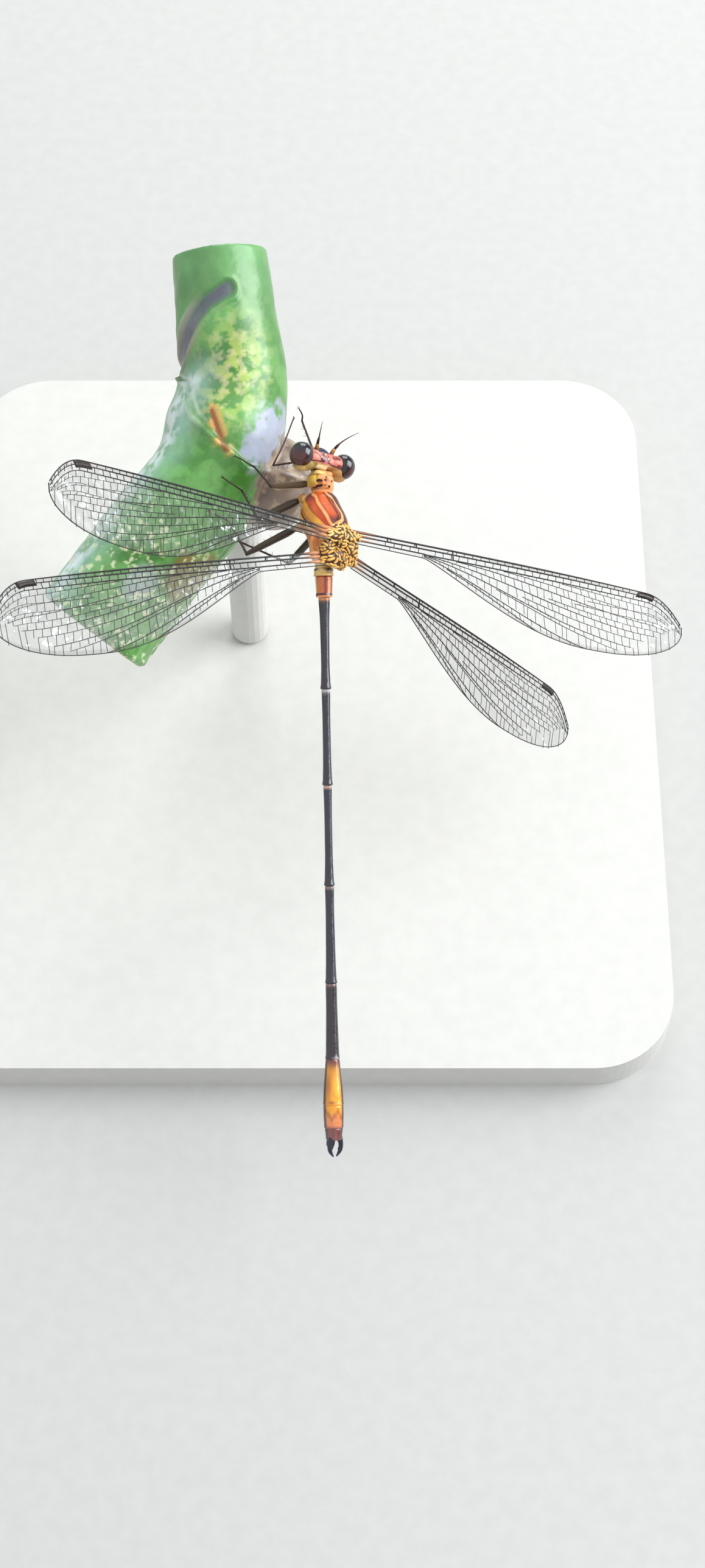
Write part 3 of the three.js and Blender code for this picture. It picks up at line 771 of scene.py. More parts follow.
def head_paint(points):
    x, y, z = points.T
    off = np.abs(x - MARK_SHIFT)
    top = smooth_step(0.0, 0.25, z)
    flat = np.stack([x, y], 1)
    marks = [(tint, mark(path_distance(flat, np.array(path)), width, 0.035) * top * 0.95)
             for tint, width, path in HEAD_MARKS]
    simple_eyes = np.minimum(np.hypot(off - 0.3, y - 0.14), np.hypot(off, y - 0.36))
    border = -0.27 - 0.05 * np.abs(x)
    rear = smooth_step(border + 0.02, border - 0.04, y)
    back = layered(
        tone(236, 206, 146),
        (OLIVE * 0.85, smooth_step(0.4, 0.5, off)),
        (OCHRE * 0.85, smooth_step(0.15, 0.3, x)),
        (tone(214, 174, 112), smooth_step(-0.72, -0.88, y) * 0.7),
    )
    neck = mark(np.hypot(x / 0.5, (z + 0.3) / 0.5), 1.0, 0.1) * smooth_step(-0.3, -0.45, y)
    cheek = smooth_step(0.95, 1.15, np.abs(x)) * smooth_step(0.1, -0.2, z) * (1 - rear)
    face = smooth_step(0.52, 0.66, y) * smooth_step(0.4, 0.2, z)
    return layered(
        PINK,
        (PINK * 1.2, bump(0.1, 0.12, y)),
        *marks,
        (SOOT, bump(0.13, 0.04, simple_eyes) * top * 0.6),
        (tone(214, 184, 160), (1 - smooth_step(0.05, 0.09, simple_eyes)) * top),
        (back, rear),
        (BROWN, neck * 0.8),
        (OLIVE * 0.8, cheek),
        (BLACK * 2, face * smooth_step(-0.4, -0.2, z)),
        (ORANGE, face * smooth_step(-0.42, -0.55, z)),
    )


def make_eye(name, side):
    shape = Shape()
    centre = np.array((side * EYE_SPREAD, 0.1, 0.1))
    shape.ellipsoid(centre, (EYE_RADIUS * 0.92, EYE_RADIUS, EYE_RADIUS), 96, 60)
    piece = shape.build(f"eye_{name}_skin", HEAD)
    x, y, z = (points_of(piece, HEAD) - centre).T
    lower = smooth_step(0.35, -0.45, y + 0.25 * (z - 0.4) - 0.2 * side * x)
    paint(piece, layered(
        tone(18, 22, 34),
        (tone(74, 24, 20), lower),
        (tone(10, 9, 13), smooth_step(0.25, -0.35, side * x) * 0.9),
        (OLIVE * 0.6, smooth_step(-0.62, -0.76, z)),
    ))
    lens = cuticle(f"eye_{name}_lens", rough=0.12, shine=0.5, grain=5000, depth=0.004, darker=0.8, coat=0.4)
    return finish_piece(piece, lens, [f"eye_{name}"])


def make_antenna(name, side):
    shape = Shape()
    root = np.array((side * 0.62, 0.72, 0.18))
    scape = [root, root + (side * 0.06, 0.22, 0.1), root + (side * 0.1, 0.36, 0.18)]
    shape.tube(scape, (0.15, 0.14, 0.12), 14, OCHRE * 0.7)
    second = [scape[-1], scape[-1] + (side * 0.08, 0.2, 0.16), scape[-1] + (side * 0.14, 0.34, 0.3)]
    shape.tube(second, (0.1, 0.095, 0.07), 12, BROWN * 1.6)
    share = np.linspace(0, 1, 14)[:, None]
    bristle = second[-1] + share * (side * 0.55, 0.9, 0.95) + share**2 * (side * 0.12, -0.15, 0.25)
    shape.tube(bristle, np.linspace(0.05, 0.012, 14), 8, BROWN)
    piece = shape.build(f"antenna_{name}_skin", HEAD)
    return finish_piece(piece, cuticle(f"antenna_{name}_cuticle", rough=0.4), [f"antenna_{name}"])


# Abdomen: length of each segment and its radii from front to rear
SEGMENTS = (
    (0.6, (0.66, 0.64)),
    (1.4, (0.6, 0.56, 0.53)),
    (6.2, (0.4, 0.32, 0.3, 0.29, 0.34)),
    (6.5, (0.3, 0.27, 0.27, 0.28, 0.33)),
    (6.8, (0.29, 0.26, 0.26, 0.27, 0.33)),
    (6.6, (0.31, 0.29, 0.31, 0.33, 0.38)),
    (5.1, (0.38, 0.38, 0.4, 0.43, 0.46)),
    (3.1, (0.47, 0.55, 0.64, 0.68)),
    (1.55, (0.68, 0.67, 0.63)),
    (0.8, (0.61, 0.52)),
)
SEGMENT_ENDS = np.cumsum([length for length, _ in SEGMENTS])


def segment_profile(length, radii, index):
    """Places along one segment and its radius there, tucked in at both joints."""
    places = np.concatenate([np.linspace(0, 0.06, 6), np.linspace(0.1, length - 0.16, 34),
                             np.linspace(length - 0.13, length, 8)])
    radius = spline(np.linspace(0, length, len(radii)), radii, places)
    lip = (0.03 if index < 7 else 0.012) * smooth_step(length - 0.3, length - 0.12, places)
    depth = 1 if index < 6 else 0.4
    tuck = 0.16 * depth * radius * smooth_step(length - 0.06, length, places)
    neck = 0.12 * depth * radius * smooth_step(0.08, 0.0, places)
    return places, radius + lip - tuck - neck


RING_COLOURS = {2: tone(226, 150, 100), 3: tone(196, 198, 196), 4: tone(196, 160, 140),
                5: tone(140, 112, 104), 6: tone(128, 96, 92)}


def segment_paint(index, share, angle):
    """Colour round one segment, by its share from front to rear and the angle from the top, with painted
    highlight and painted shade on the rear segments.
    """
    off = np.abs(angle)
    if index == 0:
        return layered(
            CREAM * 0.95,
            (BROWN, bump(0.2, 0.16, share) * (1 - bump(-52, 20, angle))),
            (BROWN, bump(0.42, 0.14, share) * bump(4, 22, angle)),
            (LEMON, bump(0.62, 0.1, share + (angle + 30) * 0.004) * 0.6),
            (BURNT * 0.7, bump(0.97, 0.07, share) * 0.9),
        )
    if index == 1:
        return layered(
            tone(196, 104, 50),
            (CREAM, smooth_step(-88, -98, angle) + smooth_step(70, 84, angle)),
            (tone(122, 34, 18), bump(-26, 15, angle)),
            (PEACH, bump(8, 8, angle)),
            (MAROON, bump(30, 12, angle) * 0.9),
            (MAROON, smooth_step(0.78, 0.82, share) * (1 - smooth_step(0.9, 0.93, share))),
            (PEACH, smooth_step(0.91, 0.94, share)),
        )
    if index < 7:
        width = (0.05, 0.05, 0.045, 0.035, 0.03)[index - 2]
        side = 0.55 + 0.45 * smooth_step(10, 50, np.abs(angle + 10))
        last = smooth_step(0.965, 0.975, share) * bump(0, 30, angle) * 0.8
        return layered(
            BLACK if index < 6 else tone(34, 24, 32),
            (tone(52, 22, 20), bump(-62, 22, angle) * (0.8 if index == 2 else 0.35)),
            (tone(70, 60, 58), smooth_step(110, 150, off) * 0.7),
            (RING_COLOURS[index], smooth_step(width, width * 0.6, share) * side),
            (tone(190, 170, 178), last if index == 6 else 0),
        )
    if index == 7:
        arch = np.abs(np.hypot((angle + 8) / 26, (share - 0.72) / 0.11) - 1)
        colour = layered(
            AMBER,
            # Painted highlight: a yellower patch right of the middle
            (tone(240, 180, 50), bump(-10, 22, angle) * bump(0.6, 0.25, share)),
            # Painted shade: brown at the front of the segment, where it meets the one before
            (tone(112, 58, 50), smooth_step(0.3, 0.05, share + np.abs(angle + 30) * 0.001)),
            (tone(168, 104, 24), mark(arch, 0.14, 0.12) * 0.55 * smooth_step(0.62, 0.74, share)),
            (tone(140, 74, 24), bump(0.93, 0.035, share) * bump(-48, 22, angle) * 0.9),
            # Painted shade: browner on the left side
            (tone(170, 92, 26), smooth_step(-44, -66, angle) * bump(0.6, 0.3, share) * 0.7),
            (tone(150, 90, 30), smooth_step(14, 22, angle) * bump(0.9, 0.1, share) * 0.5),
        )
    elif index == 8:
        teeth = 0.2 + 0.34 * np.abs(np.sin(np.radians((angle + 12) * 2.6)))
        teeth = teeth + 0.05 * np.sin(np.radians(angle * 13))
        colour = layered(
            AMBER,
            (tone(226, 136, 84), smooth_step(0.2, 0.6, share)),
            (tone(150, 84, 34), mark(np.abs(share - teeth), 0.12, 0.1) * 0.7),
            (DUSK, smooth_step(0.82, 0.98, share) * 0.7),
        )
    else:
        colour = blend(DUSK, tone(92, 44, 46), bump(4, 9, angle) + bump(-40, 12, angle) * 0.5)
    # Painted shade: the rear segments darken towards their outline as seen from the camera
    edge = smooth_step(46, 58, np.abs(angle + 34)) * (1 - smooth_step(140, 165, off))
    return blend(colour, tone(44, 20, 14), edge * 0.95)


def make_abdomen(name, first, last):
    shape = Shape()
    degrees = np.arange(0, 360, 7.5)
    angles = np.radians(degrees)
    signed = (degrees + 180) % 360 - 180
    for index in range(first, last):
        length, radii = SEGMENTS[index]
        start = SEGMENT_ENDS[index] - length
        places, radius = segment_profile(length, radii, index)
        if index == 0:
            places = np.concatenate([[-0.5], places])
            radius = np.concatenate([[0.55], radius])
        rings = np.stack([
            np.sin(angles)[None, :] * radius[:, None],
            np.repeat(-(start + places)[:, None], len(angles), 1),
            np.cos(angles)[None, :] * radius[:, None] * 1.04,
        ], axis=-1)
        colour = segment_paint(index, (places / length)[:, None], signed[None, :])
        shape.loft(rings, np.broadcast_to(colour, rings.shape))
    piece = shape.build(name, ABDOMEN)
    material = cuticle(f"{name}_cuticle", rough=0.24, shine=0.6, grain=1800, coat=0.4)
    return finish_piece(piece, material, [f"abdomen_{index + 1}" for index in range(first, last)])


def make_tail_tip():
    end = SEGMENT_ENDS[-1]
    for name, side in SIDES:
        shape = Shape()
        share = np.linspace(0, 1, 24)
        x = side * spline((0, 0.35, 0.7, 1), (0.32, 0.46, 0.4, 0.13), share)
        y = -end + 0.15 - 1.28 * share
        z = 0.18 - 0.12 * share
        radii = spline((0, 0.3, 0.75, 1), (0.22, 0.17, 0.13, 0.045), share)
        shape.tube(np.stack([x, y, z], 1), radii, 16, BLACK * 1.3)
        shape.ellipsoid((side * 0.36, -end - 0.62, 0.08), (0.12, 0.1, 0.08), 12, 8, BLACK)
        piece = shape.build(f"cercus_{name}_skin", ABDOMEN)
        horn = cuticle(f"cercus_{name}_horn", rough=0.25, shine=0.5)
        finish_piece(piece, horn, [f"cercus_{name}"])
    shape = Shape()
    for _, side in SIDES:
        path = np.array(((0.16, 0.1, -0.32), (0.18, -0.35, -0.42), (0.1, -0.75, -0.42))) * (side, 1, 1)
        shape.tube(path - (0, end, 0), (0.17, 0.14, 0.05), 12, BROWN * 1.6)
    piece = shape.build("paraprocts_skin", ABDOMEN)
    finish_piece(piece, cuticle("paraproct_horn", rough=0.35), ["paraprocts"])


# Wings
NODUS = 0.285
FIRST_CROSSINGS = (0.09, 0.175)
STIGMA = (0.86, 0.912)
STRONG_VEINS = (0.0, 0.27, 0.66)
AXIS_SHARE = 0.085
MEMBRANE_HALF = 0.008
STRONG_RADII = (0.07, 0.058, 0.052)
CROSS_VEIN_SPANS = (0.075, 0.985)
CROSS_VEIN_STEP = 0.0235
VEIN_DARK = tone(20, 15, 15)
VEIN_PALE = tone(206, 140, 96)


def leading_edge(span):
    """Place of the front edge, as a share of the wing's width behind its axis line."""
    tip = np.maximum(0, (span - 0.88) / 0.12)
    return -0.03 * np.sin(np.pi * span**1.2) + 0.4 * tip**2.2


def trailing_edge(span):
    """Place of the rear edge, in the same share."""
    stalk = 0.17
    widening = np.clip((span - 0.2) / 0.5, 0, 1)
    rounding = np.clip((span - 0.7) / 0.3, 0, 1)
    rear = 0.46 + 0.54 * np.sqrt(np.maximum(0, 1 - rounding**2.4))
    front = stalk + (1 - stalk) * np.sin(widening * np.pi / 2) ** 1.15
    return np.where(rounding > 0, rear, front)


# Veins behind the strong ones: start, its share of the rear field, and end, its share there
FAN_VEINS = (
    (0.62, 0.02, 0.99, 0.14),
    (0.44, 0.02, 0.975, 0.3),
    (0.7, 0.21, 0.985, 0.22),
    (0.3, 0.04, 0.955, 0.47),
    (0.66, 0.3, 0.965, 0.385),
    (0.215, 0.16, 0.92, 0.66),
    (0.58, 0.33, 0.94, 0.56),
    (0.5, 0.46, 0.88, 0.75),
    (0.2, 0.34, 0.84, 0.87),
    (0.42, 0.53, 0.8, 0.94),
    (0.2, 0.62, 0.7, 1.0),
    (0.27, 0.74, 0.55, 1.0),
)
LONG_VEINS = (0, 1, 2, *FAN_VEINS)


def strong_offset(order, width):
    """How far one of the three strong veins lies behind the front edge."""
    return np.minimum(STRONG_VEINS[order], 0.34 * order * width)


def vein_chord(vein, span, width):
    """Chord place of one vein at a span, in millimetres behind the wing's axis line."""
    front = leading_edge(span) * width
    back = trailing_edge(span) * width
    if isinstance(vein, int):
        return front + strong_offset(vein, back - front)
    start, share_a, end, share_b = vein
    third = front + strong_offset(2, back - front)
    t = np.clip((span - start) / (end - start), 0, 1)
    share = share_a + (share_b - share_a) * (0.75 * t + 0.25 * t**2)
    return third + (back - third) * share


class Wing:
    """One wing, its span as a share of its length and its chord in millimetres from its axis."""

    def __init__(self, pair, name, side):
        self.seed = f"{pair}{name}"
        self.side = side
        self.length = WING_PAIRS[pair]["length"]
        self.width = WING_PAIRS[pair]["width"]
        self.place = wing_place(pair, name, side)
        self.node = f"wing_{pair}_{name}"
        # Painted light: the left wings get more painted glints and paler vein roots than the right ones
        self.painted_light_side = name == "left"

    def points(self, span, chord, height=0.0):
        span, chord, height = np.broadcast_arrays(span, chord, height)
        return np.stack([self.side * span * self.length, AXIS_SHARE * self.width - chord, height], axis=-1)

    def front(self, span):
        return leading_edge(span) * self.width

    def back(self, span):
        return trailing_edge(span) * self.width

    def chord(self, vein, span):
        return vein_chord(vein, np.asarray(span), self.width)

    def make_membrane(self):
        """A thin closed sheet, whose grey value says where the painted glints, painted highlights, go."""
        spans = np.concatenate([np.linspace(-0.01, 0.9, 70), np.linspace(0.905, 0.999, 24)])
        rows = []
        for span in spans:
            chords = np.linspace(self.front(max(span, 0)), self.back(max(span, 0)), 15)
            top = self.points(span, chords, MEMBRANE_HALF)
            under = self.points(span, chords[::-1], -MEMBRANE_HALF)
            rows.append(np.vstack([top, under]))
        across = np.linspace(0, 1, 15)
        across = np.concatenate([across, across[::-1]])[None, :]
        along = spans[:, None]
        # Painted highlights: glints near the nodus and towards the tip, over a faint glint everywhere
        painted_glints = 0.8 * bump(0.33, 0.12, along) * bump(0.75, 0.35, across)
        painted_glints = painted_glints + 0.6 * bump(0.9, 0.16, along) + 0.2
        if self.painted_light_side:
            painted_glints = painted_glints + 0.6 * bump(0.28, 0.06, along) * bump(0.55, 0.4, across)
        sheet = Shape()
        sheet.loft(rows, np.repeat(painted_glints[..., None], 3, axis=2))
        finish_piece(sheet.build(f"{self.node}_membrane", self.place), MEMBRANE, [self.node])

    def add_long_veins(self, net):
        # Vein roots are pale; on the left wings they are painted paler still as painted light, and drawn
        # thicker
        pale, swell = (0.95, 1.1) if self.painted_light_side else (0.4, 0.5)
        for vein in LONG_VEINS:
            if isinstance(vein, int):
                steps = np.linspace(-0.02, 0.995, 90)
                thick = STRONG_RADII[vein]
            else:
                steps = np.linspace(vein[0], vein[2], 60)
                thick = 0.035 if vein[0] < 0.35 else 0.029
            path = self.points(steps, self.chord(vein, np.maximum(steps, 0)))
            fade = 1 - 0.45 * smooth_step(0.5, 1, steps)
            root = smooth_step(0.07, 0.015, steps)
            tint = blend(VEIN_DARK, VEIN_PALE, root * pale)
            fade = fade * (1 + root * swell)
            net.tube(path, thick * fade, 6, np.repeat(tint[:, None, :], 6, axis=1))
        edge = np.concatenate([np.linspace(0.0, 0.9, 80), np.linspace(0.905, 0.999, 24)])
        net.tube(self.points(edge, self.back(edge)), 0.034, 6, VEIN_DARK)
        tip = np.array([0.999, 0.999])
        net.tube(self.points(tip, np.array([self.front(0.999), self.back(0.999)])), 0.038, 6, VEIN_DARK)

    def add_cross_veins(self, net):
        draw = random.Random(self.seed)
        span, end = CROSS_VEIN_SPANS
        while span < end:
            rows = sorted([self.chord(vein, span).item() for vein in LONG_VEINS
                           if isinstance(vein, int) or vein[0] + 0.004 < span < vein[2]])
            rows.append(float(self.back(np.array(span))))
            for order, (front, back) in enumerate(zip(rows[:-1], rows[1:])):
                if back - front < 0.07:
                    continue
                from_first = min(abs(span - place) for place in FIRST_CROSSINGS)
                if span < NODUS - 0.02 and order < 1 and from_first > 0.012:
                    continue
                if span < 0.2 and order > 0 and draw.random() < 0.6:
                    continue
                start = span + ((0.011 if order % 2 else 0.0) + draw.uniform(-0.002, 0.002))
                slant = draw.uniform(-0.003, 0.003) + (0.003 if order > 2 else 0)
                if STIGMA[0] - 0.005 < start < STIGMA[1] and order < 1:
                    continue
                line = self.points(np.array([start, start + slant]), np.array([front, back]))
                net.tube(line, 0.022 if order > 1 else 0.028, 5, VEIN_DARK)
            span += CROSS_VEIN_STEP + 0.002 * draw.random()
        for place, reach in ((NODUS, 2), *((crossing, 1) for crossing in FIRST_CROSSINGS)):
            ends = np.array([self.chord(0, place), self.chord(reach, place)])
            net.tube(self.points(np.array([place, place + 0.003]), ends), 0.05, 6, VEIN_DARK)

    def add_stigma(self, net):
        """The slanted dark cell at the front edge."""
        rings = []
        for along in STIGMA[0] + (STIGMA[1] - STIGMA[0]) * np.linspace(0, 1, 9):
            spans = np.array([along, along - 0.008])
            chords = np.array([self.front(along), self.chord(1, along).item() + 0.16])
            top = self.points(spans, chords, 0.05)
            under = self.points(spans[::-1], chords[::-1], -0.05)
            rings.append(np.vstack([top, under]))
        net.loft(rings, np.array([0.018, 0.01, 0.008]))

    def make_veins(self):
        net = Shape()
        self.add_long_veins(net)
        self.add_cross_veins(net)
        self.add_stigma(net)
        finish_piece(net.build(f"{self.node}_veins", self.place), VEIN, [self.node])


# Perch
STEM_RADIUS = 4.1
STEM_ELBOW = np.array((-4.2, 6.2, 27.4))
STEM_UP = unit(np.array((-0.1, 0.862, 0.497)))
STEM_DOWN = unit(np.array((-0.6, -0.69, -0.4)))
STEM_KNOB = np.array((-1.9, 4.6, 24.6))
KNOB_RADII = (3, 3.4, 3)
STEM_UP_LENGTH = 13
STEM_DOWN_LENGTH = 17
UP = np.array((0.0, 0.0, 1.0))


def turned(vector, axis, degrees):
    angle = math.radians(degrees)
    return (vector * math.cos(angle) + np.cross(axis, vector) * math.sin(angle)
            + axis * axis.dot(vector) * (1 - math.cos(angle)))


def stem_point(distance, angle, lift):
    """A point on the stem by its distance up from the elbow and its angle from the top."""
    along = STEM_UP if distance > 0 else -STEM_DOWN
    outward = turned(square_to(along, UP), along, angle)
    return STEM_ELBOW + along * distance + outward * (STEM_RADIUS * 1.05 + lift)


STEM_PATH = catmull([
    STEM_ELBOW + STEM_DOWN * STEM_DOWN_LENGTH,
    STEM_ELBOW + STEM_DOWN * STEM_DOWN_LENGTH * 0.55,
    STEM_ELBOW + STEM_DOWN * 3.2,
    STEM_ELBOW + STEM_UP * 3.2,
    STEM_ELBOW + STEM_UP * STEM_UP_LENGTH * 0.6,
    STEM_ELBOW + STEM_UP * STEM_UP_LENGTH,
], 150)

# Features of the stem: distances up from the elbow and degrees from its top
LEAF_SCAR = ((9.6, 4), (8.8, -22), (7.6, -46), (5.8, -78), (4.6, -110))
SHEATH_EDGE = ((4.6, -100), (3.4, -66), (3.1, -50), (1.6, -38), (0.3, -22), (-0.8, 6),
               (-1.8, 48), (-1.0, 100), (2.0, 180), (4.4, 230), (4.6, 260))
BARK_SCAR = ((0.9, -8), (-0.4, 6), (-1.5, 20))
# A painted highlight: the line of the pale glossy streak down the stem
PAINTED_GLOSS_LINE = ((3.0, -46), (0.5, -52), (-7, -42), (-17, -40))


def stem_coordinates(points):
    """Distance up from the elbow and degrees from the top, for points on the stem."""
    tangents = np.gradient(STEM_PATH, axis=0)
    tangents /= np.linalg.norm(tangents, axis=1)[:, None]
    steps = np.linalg.norm(np.diff(STEM_PATH, axis=0), axis=1)
    along = np.concatenate([[0], np.cumsum(steps)])
    along -= along[np.argmin(np.linalg.norm(STEM_PATH - STEM_ELBOW, axis=1))]
    near = np.concatenate([
        np.argmin(((block[:, None, :] - STEM_PATH[None]) ** 2).sum(-1), axis=1)
        for block in np.array_split(points, max(1, len(points) // 4000))])
    tangent = tangents[near]
    top = UP - tangent * tangent[:, 2:3]
    top /= np.linalg.norm(top, axis=1)[:, None]
    right = np.cross(tangent, top)
    outward = points - STEM_PATH[near]
    angle = np.degrees(np.arctan2((outward * right).sum(1), (outward * top).sum(1)))
    return along[near] + (outward * tangent).sum(1), angle


def stem_distance(distance, angle, line):
    return line_distance(distance, angle, line, 1.0, STEM_RADIUS)


def patchy(points, seed, size):
    """Irregular soft patches of about this size, mostly from 0 to 1."""
    shifted = points / size + seed * 13.7
    return np.array([0.5 + 0.8 * clouds.fractal(Vector(p), 1.0, 2.0, 4) for p in shifted])


def stem_relief(points, distance, angle):
    """Raises the sheath above the upper joint and sinks the scars, in millimetres."""
    sheath_start = np.interp(np.where(angle < -100, angle + 360, angle),
                             *np.transpose([(a, s) for s, a in SHEATH_EDGE]))
    sheath = smooth_step(sheath_start + 0.05, sheath_start - 0.12, distance)
    relief = 0.2 * sheath + 0.16 * bump(sheath_start - 0.25, 0.25, distance)
    scar = stem_distance(distance, angle, LEAF_SCAR)
    relief = relief - 0.14 * mark(scar, 0.55, 0.15) + 0.12 * bump(0.8, 0.16, scar)
    relief = relief - 0.1 * mark(stem_distance(distance, angle, BARK_SCAR), 0.22, 0.1)
    ribs = 0.02 * np.sin(np.radians(angle) * 34) * smooth_step(-3, -6, distance)
    return relief + ribs + 0.06 * (patchy(points, 3, 2.5) - 0.5)


def stem_paint(points):
    distance, angle = stem_coordinates(points)
    patches = patchy(points, 1, 3.0)
    fine = patchy(points, 2, 0.9)
    specks = smooth_step(0.62, 0.72, patchy(points, 7, 0.6))
    freckles = smooth_step(0.76, 0.84, patchy(points, 5, 0.45)) * smooth_step(-6, -9, distance)
    yellowing = bump(3.6, 3.4, distance) * bump(0, 36, angle)
    lavender = bump(0.2, 2.2, distance) * bump(62, 30, angle)
    stain = bump(-9.5, 2.6, distance) * bump(74, 30, angle) * (0.5 + patches)
    lilac = bump(-12.2, 1.8, distance) * bump(34, 18, angle)
    painted_gloss = stem_distance(distance, angle, PAINTED_GLOSS_LINE)
    scar = stem_distance(distance, angle, LEAF_SCAR)
    bark = stem_distance(distance, angle, BARK_SCAR)
    edge = stem_distance(distance, angle, SHEATH_EDGE)
    knob = np.linalg.norm((points - STEM_KNOB) / KNOB_RADII, axis=1)
    streaks = 0.5 + 0.5 * np.sin(np.radians(angle) * 26 + 4 * patches + distance)
    dry = layered(
        tone(140, 124, 112),
        (tone(96, 78, 66), streaks * 0.7),
        (tone(190, 168, 138), smooth_step(0.6, 0.8, fine) * 0.6),
    )
    return layered(
        tone(94, 152, 76),
        (tone(64, 126, 46), smooth_step(0.35, 0.75, patches)),
        (tone(100, 152, 98), smooth_step(3, 12, distance) * 0.6),
        (tone(62, 128, 34), smooth_step(-58, -85, angle) * 0.85),
        (tone(108, 176, 84), smooth_step(0, -5, distance) * smooth_step(0.4, 0.7, fine) * 0.5),
        (tone(190, 212, 108), smooth_step(0.44, 0.66, fine) * yellowing * 0.8),
        (tone(212, 206, 160), specks * yellowing * 0.6),
        # Painted highlight: pale cyan sheen round the glossy streak, with a whiter core
        (tone(176, 218, 208), smooth_step(3.6, 0.6, painted_gloss) * (0.2 + 0.4 * patches)),
        (tone(222, 238, 242), smooth_step(1.5, 0.2, painted_gloss) * smooth_step(0.2, 0.6, fine) * 0.85),
        (tone(160, 168, 186), smooth_step(0.2, 0.5, lavender * (0.4 + fine))),
        (tone(126, 112, 48), smooth_step(0.35, 0.7, stain) * 0.9),
        (tone(176, 186, 196), smooth_step(0.3, 0.8, lilac) * 0.6),
        (tone(214, 226, 180), freckles * 0.85),
        (tone(150, 142, 132), mark(scar, 1.0, 0.25) * smooth_step(-20, -50, angle) * 0.8),
        (tone(84, 88, 100), mark(scar, 0.5, 0.2) * (0.7 + 0.3 * fine)),
        (tone(206, 168, 92), mark(bark, 0.5, 0.25) * smooth_step(0.2, 0.6, fine)),
        (tone(150, 84, 40), mark(bark, 0.16, 0.08)),
        (tone(44, 92, 26), mark(edge, 0.1, 0.08) * 0.55),
        (tone(200, 224, 204), bump(0.3, 0.12, edge) * smooth_step(0, -30, angle) * 0.8),
        (dry, smooth_step(1.42, 1.2, knob + 0.2 * (fine - 0.5))),
    )


def make_stem():
    share = np.linspace(0, 1, len(STEM_PATH))
    radius = STEM_RADIUS * (1.03 - 0.19 * share**2 + 0.07 * np.exp(-(((share - 0.58) / 0.05) ** 2)))
    shape = Shape()
    shape.tube(STEM_PATH, radius - 0.12, 72)
    shape.ellipsoid(STEM_KNOB, KNOB_RADII, 40, 24)
    piece = shape.build("perch_skin")
    melt(piece, voxel=0.13, relax=8)
    points = points_of(piece)
    normals = vertex_values(piece, "normal")
    distance, angle = stem_coordinates(points)
    on_side = smooth_step(-STEM_DOWN_LENGTH + 0.1, -STEM_DOWN_LENGTH + 0.5, distance)
    on_side = on_side * smooth_step(STEM_UP_LENGTH - 0.1, STEM_UP_LENGTH - 0.5, distance)
    raised = points + normals * (stem_relief(points, distance, angle) * on_side)[:, None]
    piece.data.vertices.foreach_set("co", (raised * MM).astype(np.float32).ravel())
    piece.data.update()
    cut_end = np.maximum(smooth_step(-STEM_DOWN_LENGTH + 0.3, -STEM_DOWN_LENGTH - 0.1, distance),
                         smooth_step(STEM_UP_LENGTH - 0.3, STEM_UP_LENGTH + 0.1, distance))
    paint(piece, blend(stem_paint(raised), tone(196, 206, 150), cut_end))
    material = cuticle("stem_skin", rough=0.34, shine=0.45, grain=700, depth=0.06, darker=0.8, coat=0.25)
    return finish_piece(piece, material, ["perch_stem"])


# Legs: hip on the body, toe and heel by their place on the stem, and the way the knee bends
LEGS = (
    ("fore_left", (-0.55, 3.15, -1.2), (-1.4, 34), (-1.2, 52), (-0.8, -0.7, 0.3)),
    ("fore_right", (0.5, 3.15, -1.42), (0.5, 58), (-0.3, 66), (1, 0.8, 0.2)),
    ("mid_left", (-0.85, 2.1, -1.85), (-3.1, 36), (-3.0, 56), (-0.5, -1, 0.4)),
    ("mid_right", (0.8, 2.0, -1.75), (1.6, 84), (0.9, 98), (1, 0.2, 0.1)),
    ("hind_left", (-0.95, 0.2, -2.0), (-5.5, 44), (-5.2, 64), (-0.5, -1, 0.5)),
    ("hind_right", (0.85, 0.1, -2.05), (-6.0, 78), (-5.8, 94), (0.8, -0.8, -0.1)),
)
FEMUR = {"fore": 2.6, "mid": 3.2, "hind": 3.9}
TIBIA = {"fore": 2.5, "mid": 3.0, "hind": 3.6}


def knee_point(hip, heel, femur, tibia, bend):
    reach = heel - hip
    distance = min(np.linalg.norm(reach), (femur + tibia) * 0.985)
    along = unit(reach)
    forward = (femur**2 - tibia**2 + distance**2) / (2 * distance)
    return hip + along * forward + square_to(along, bend) * math.sqrt(max(0, femur**2 - forward**2))


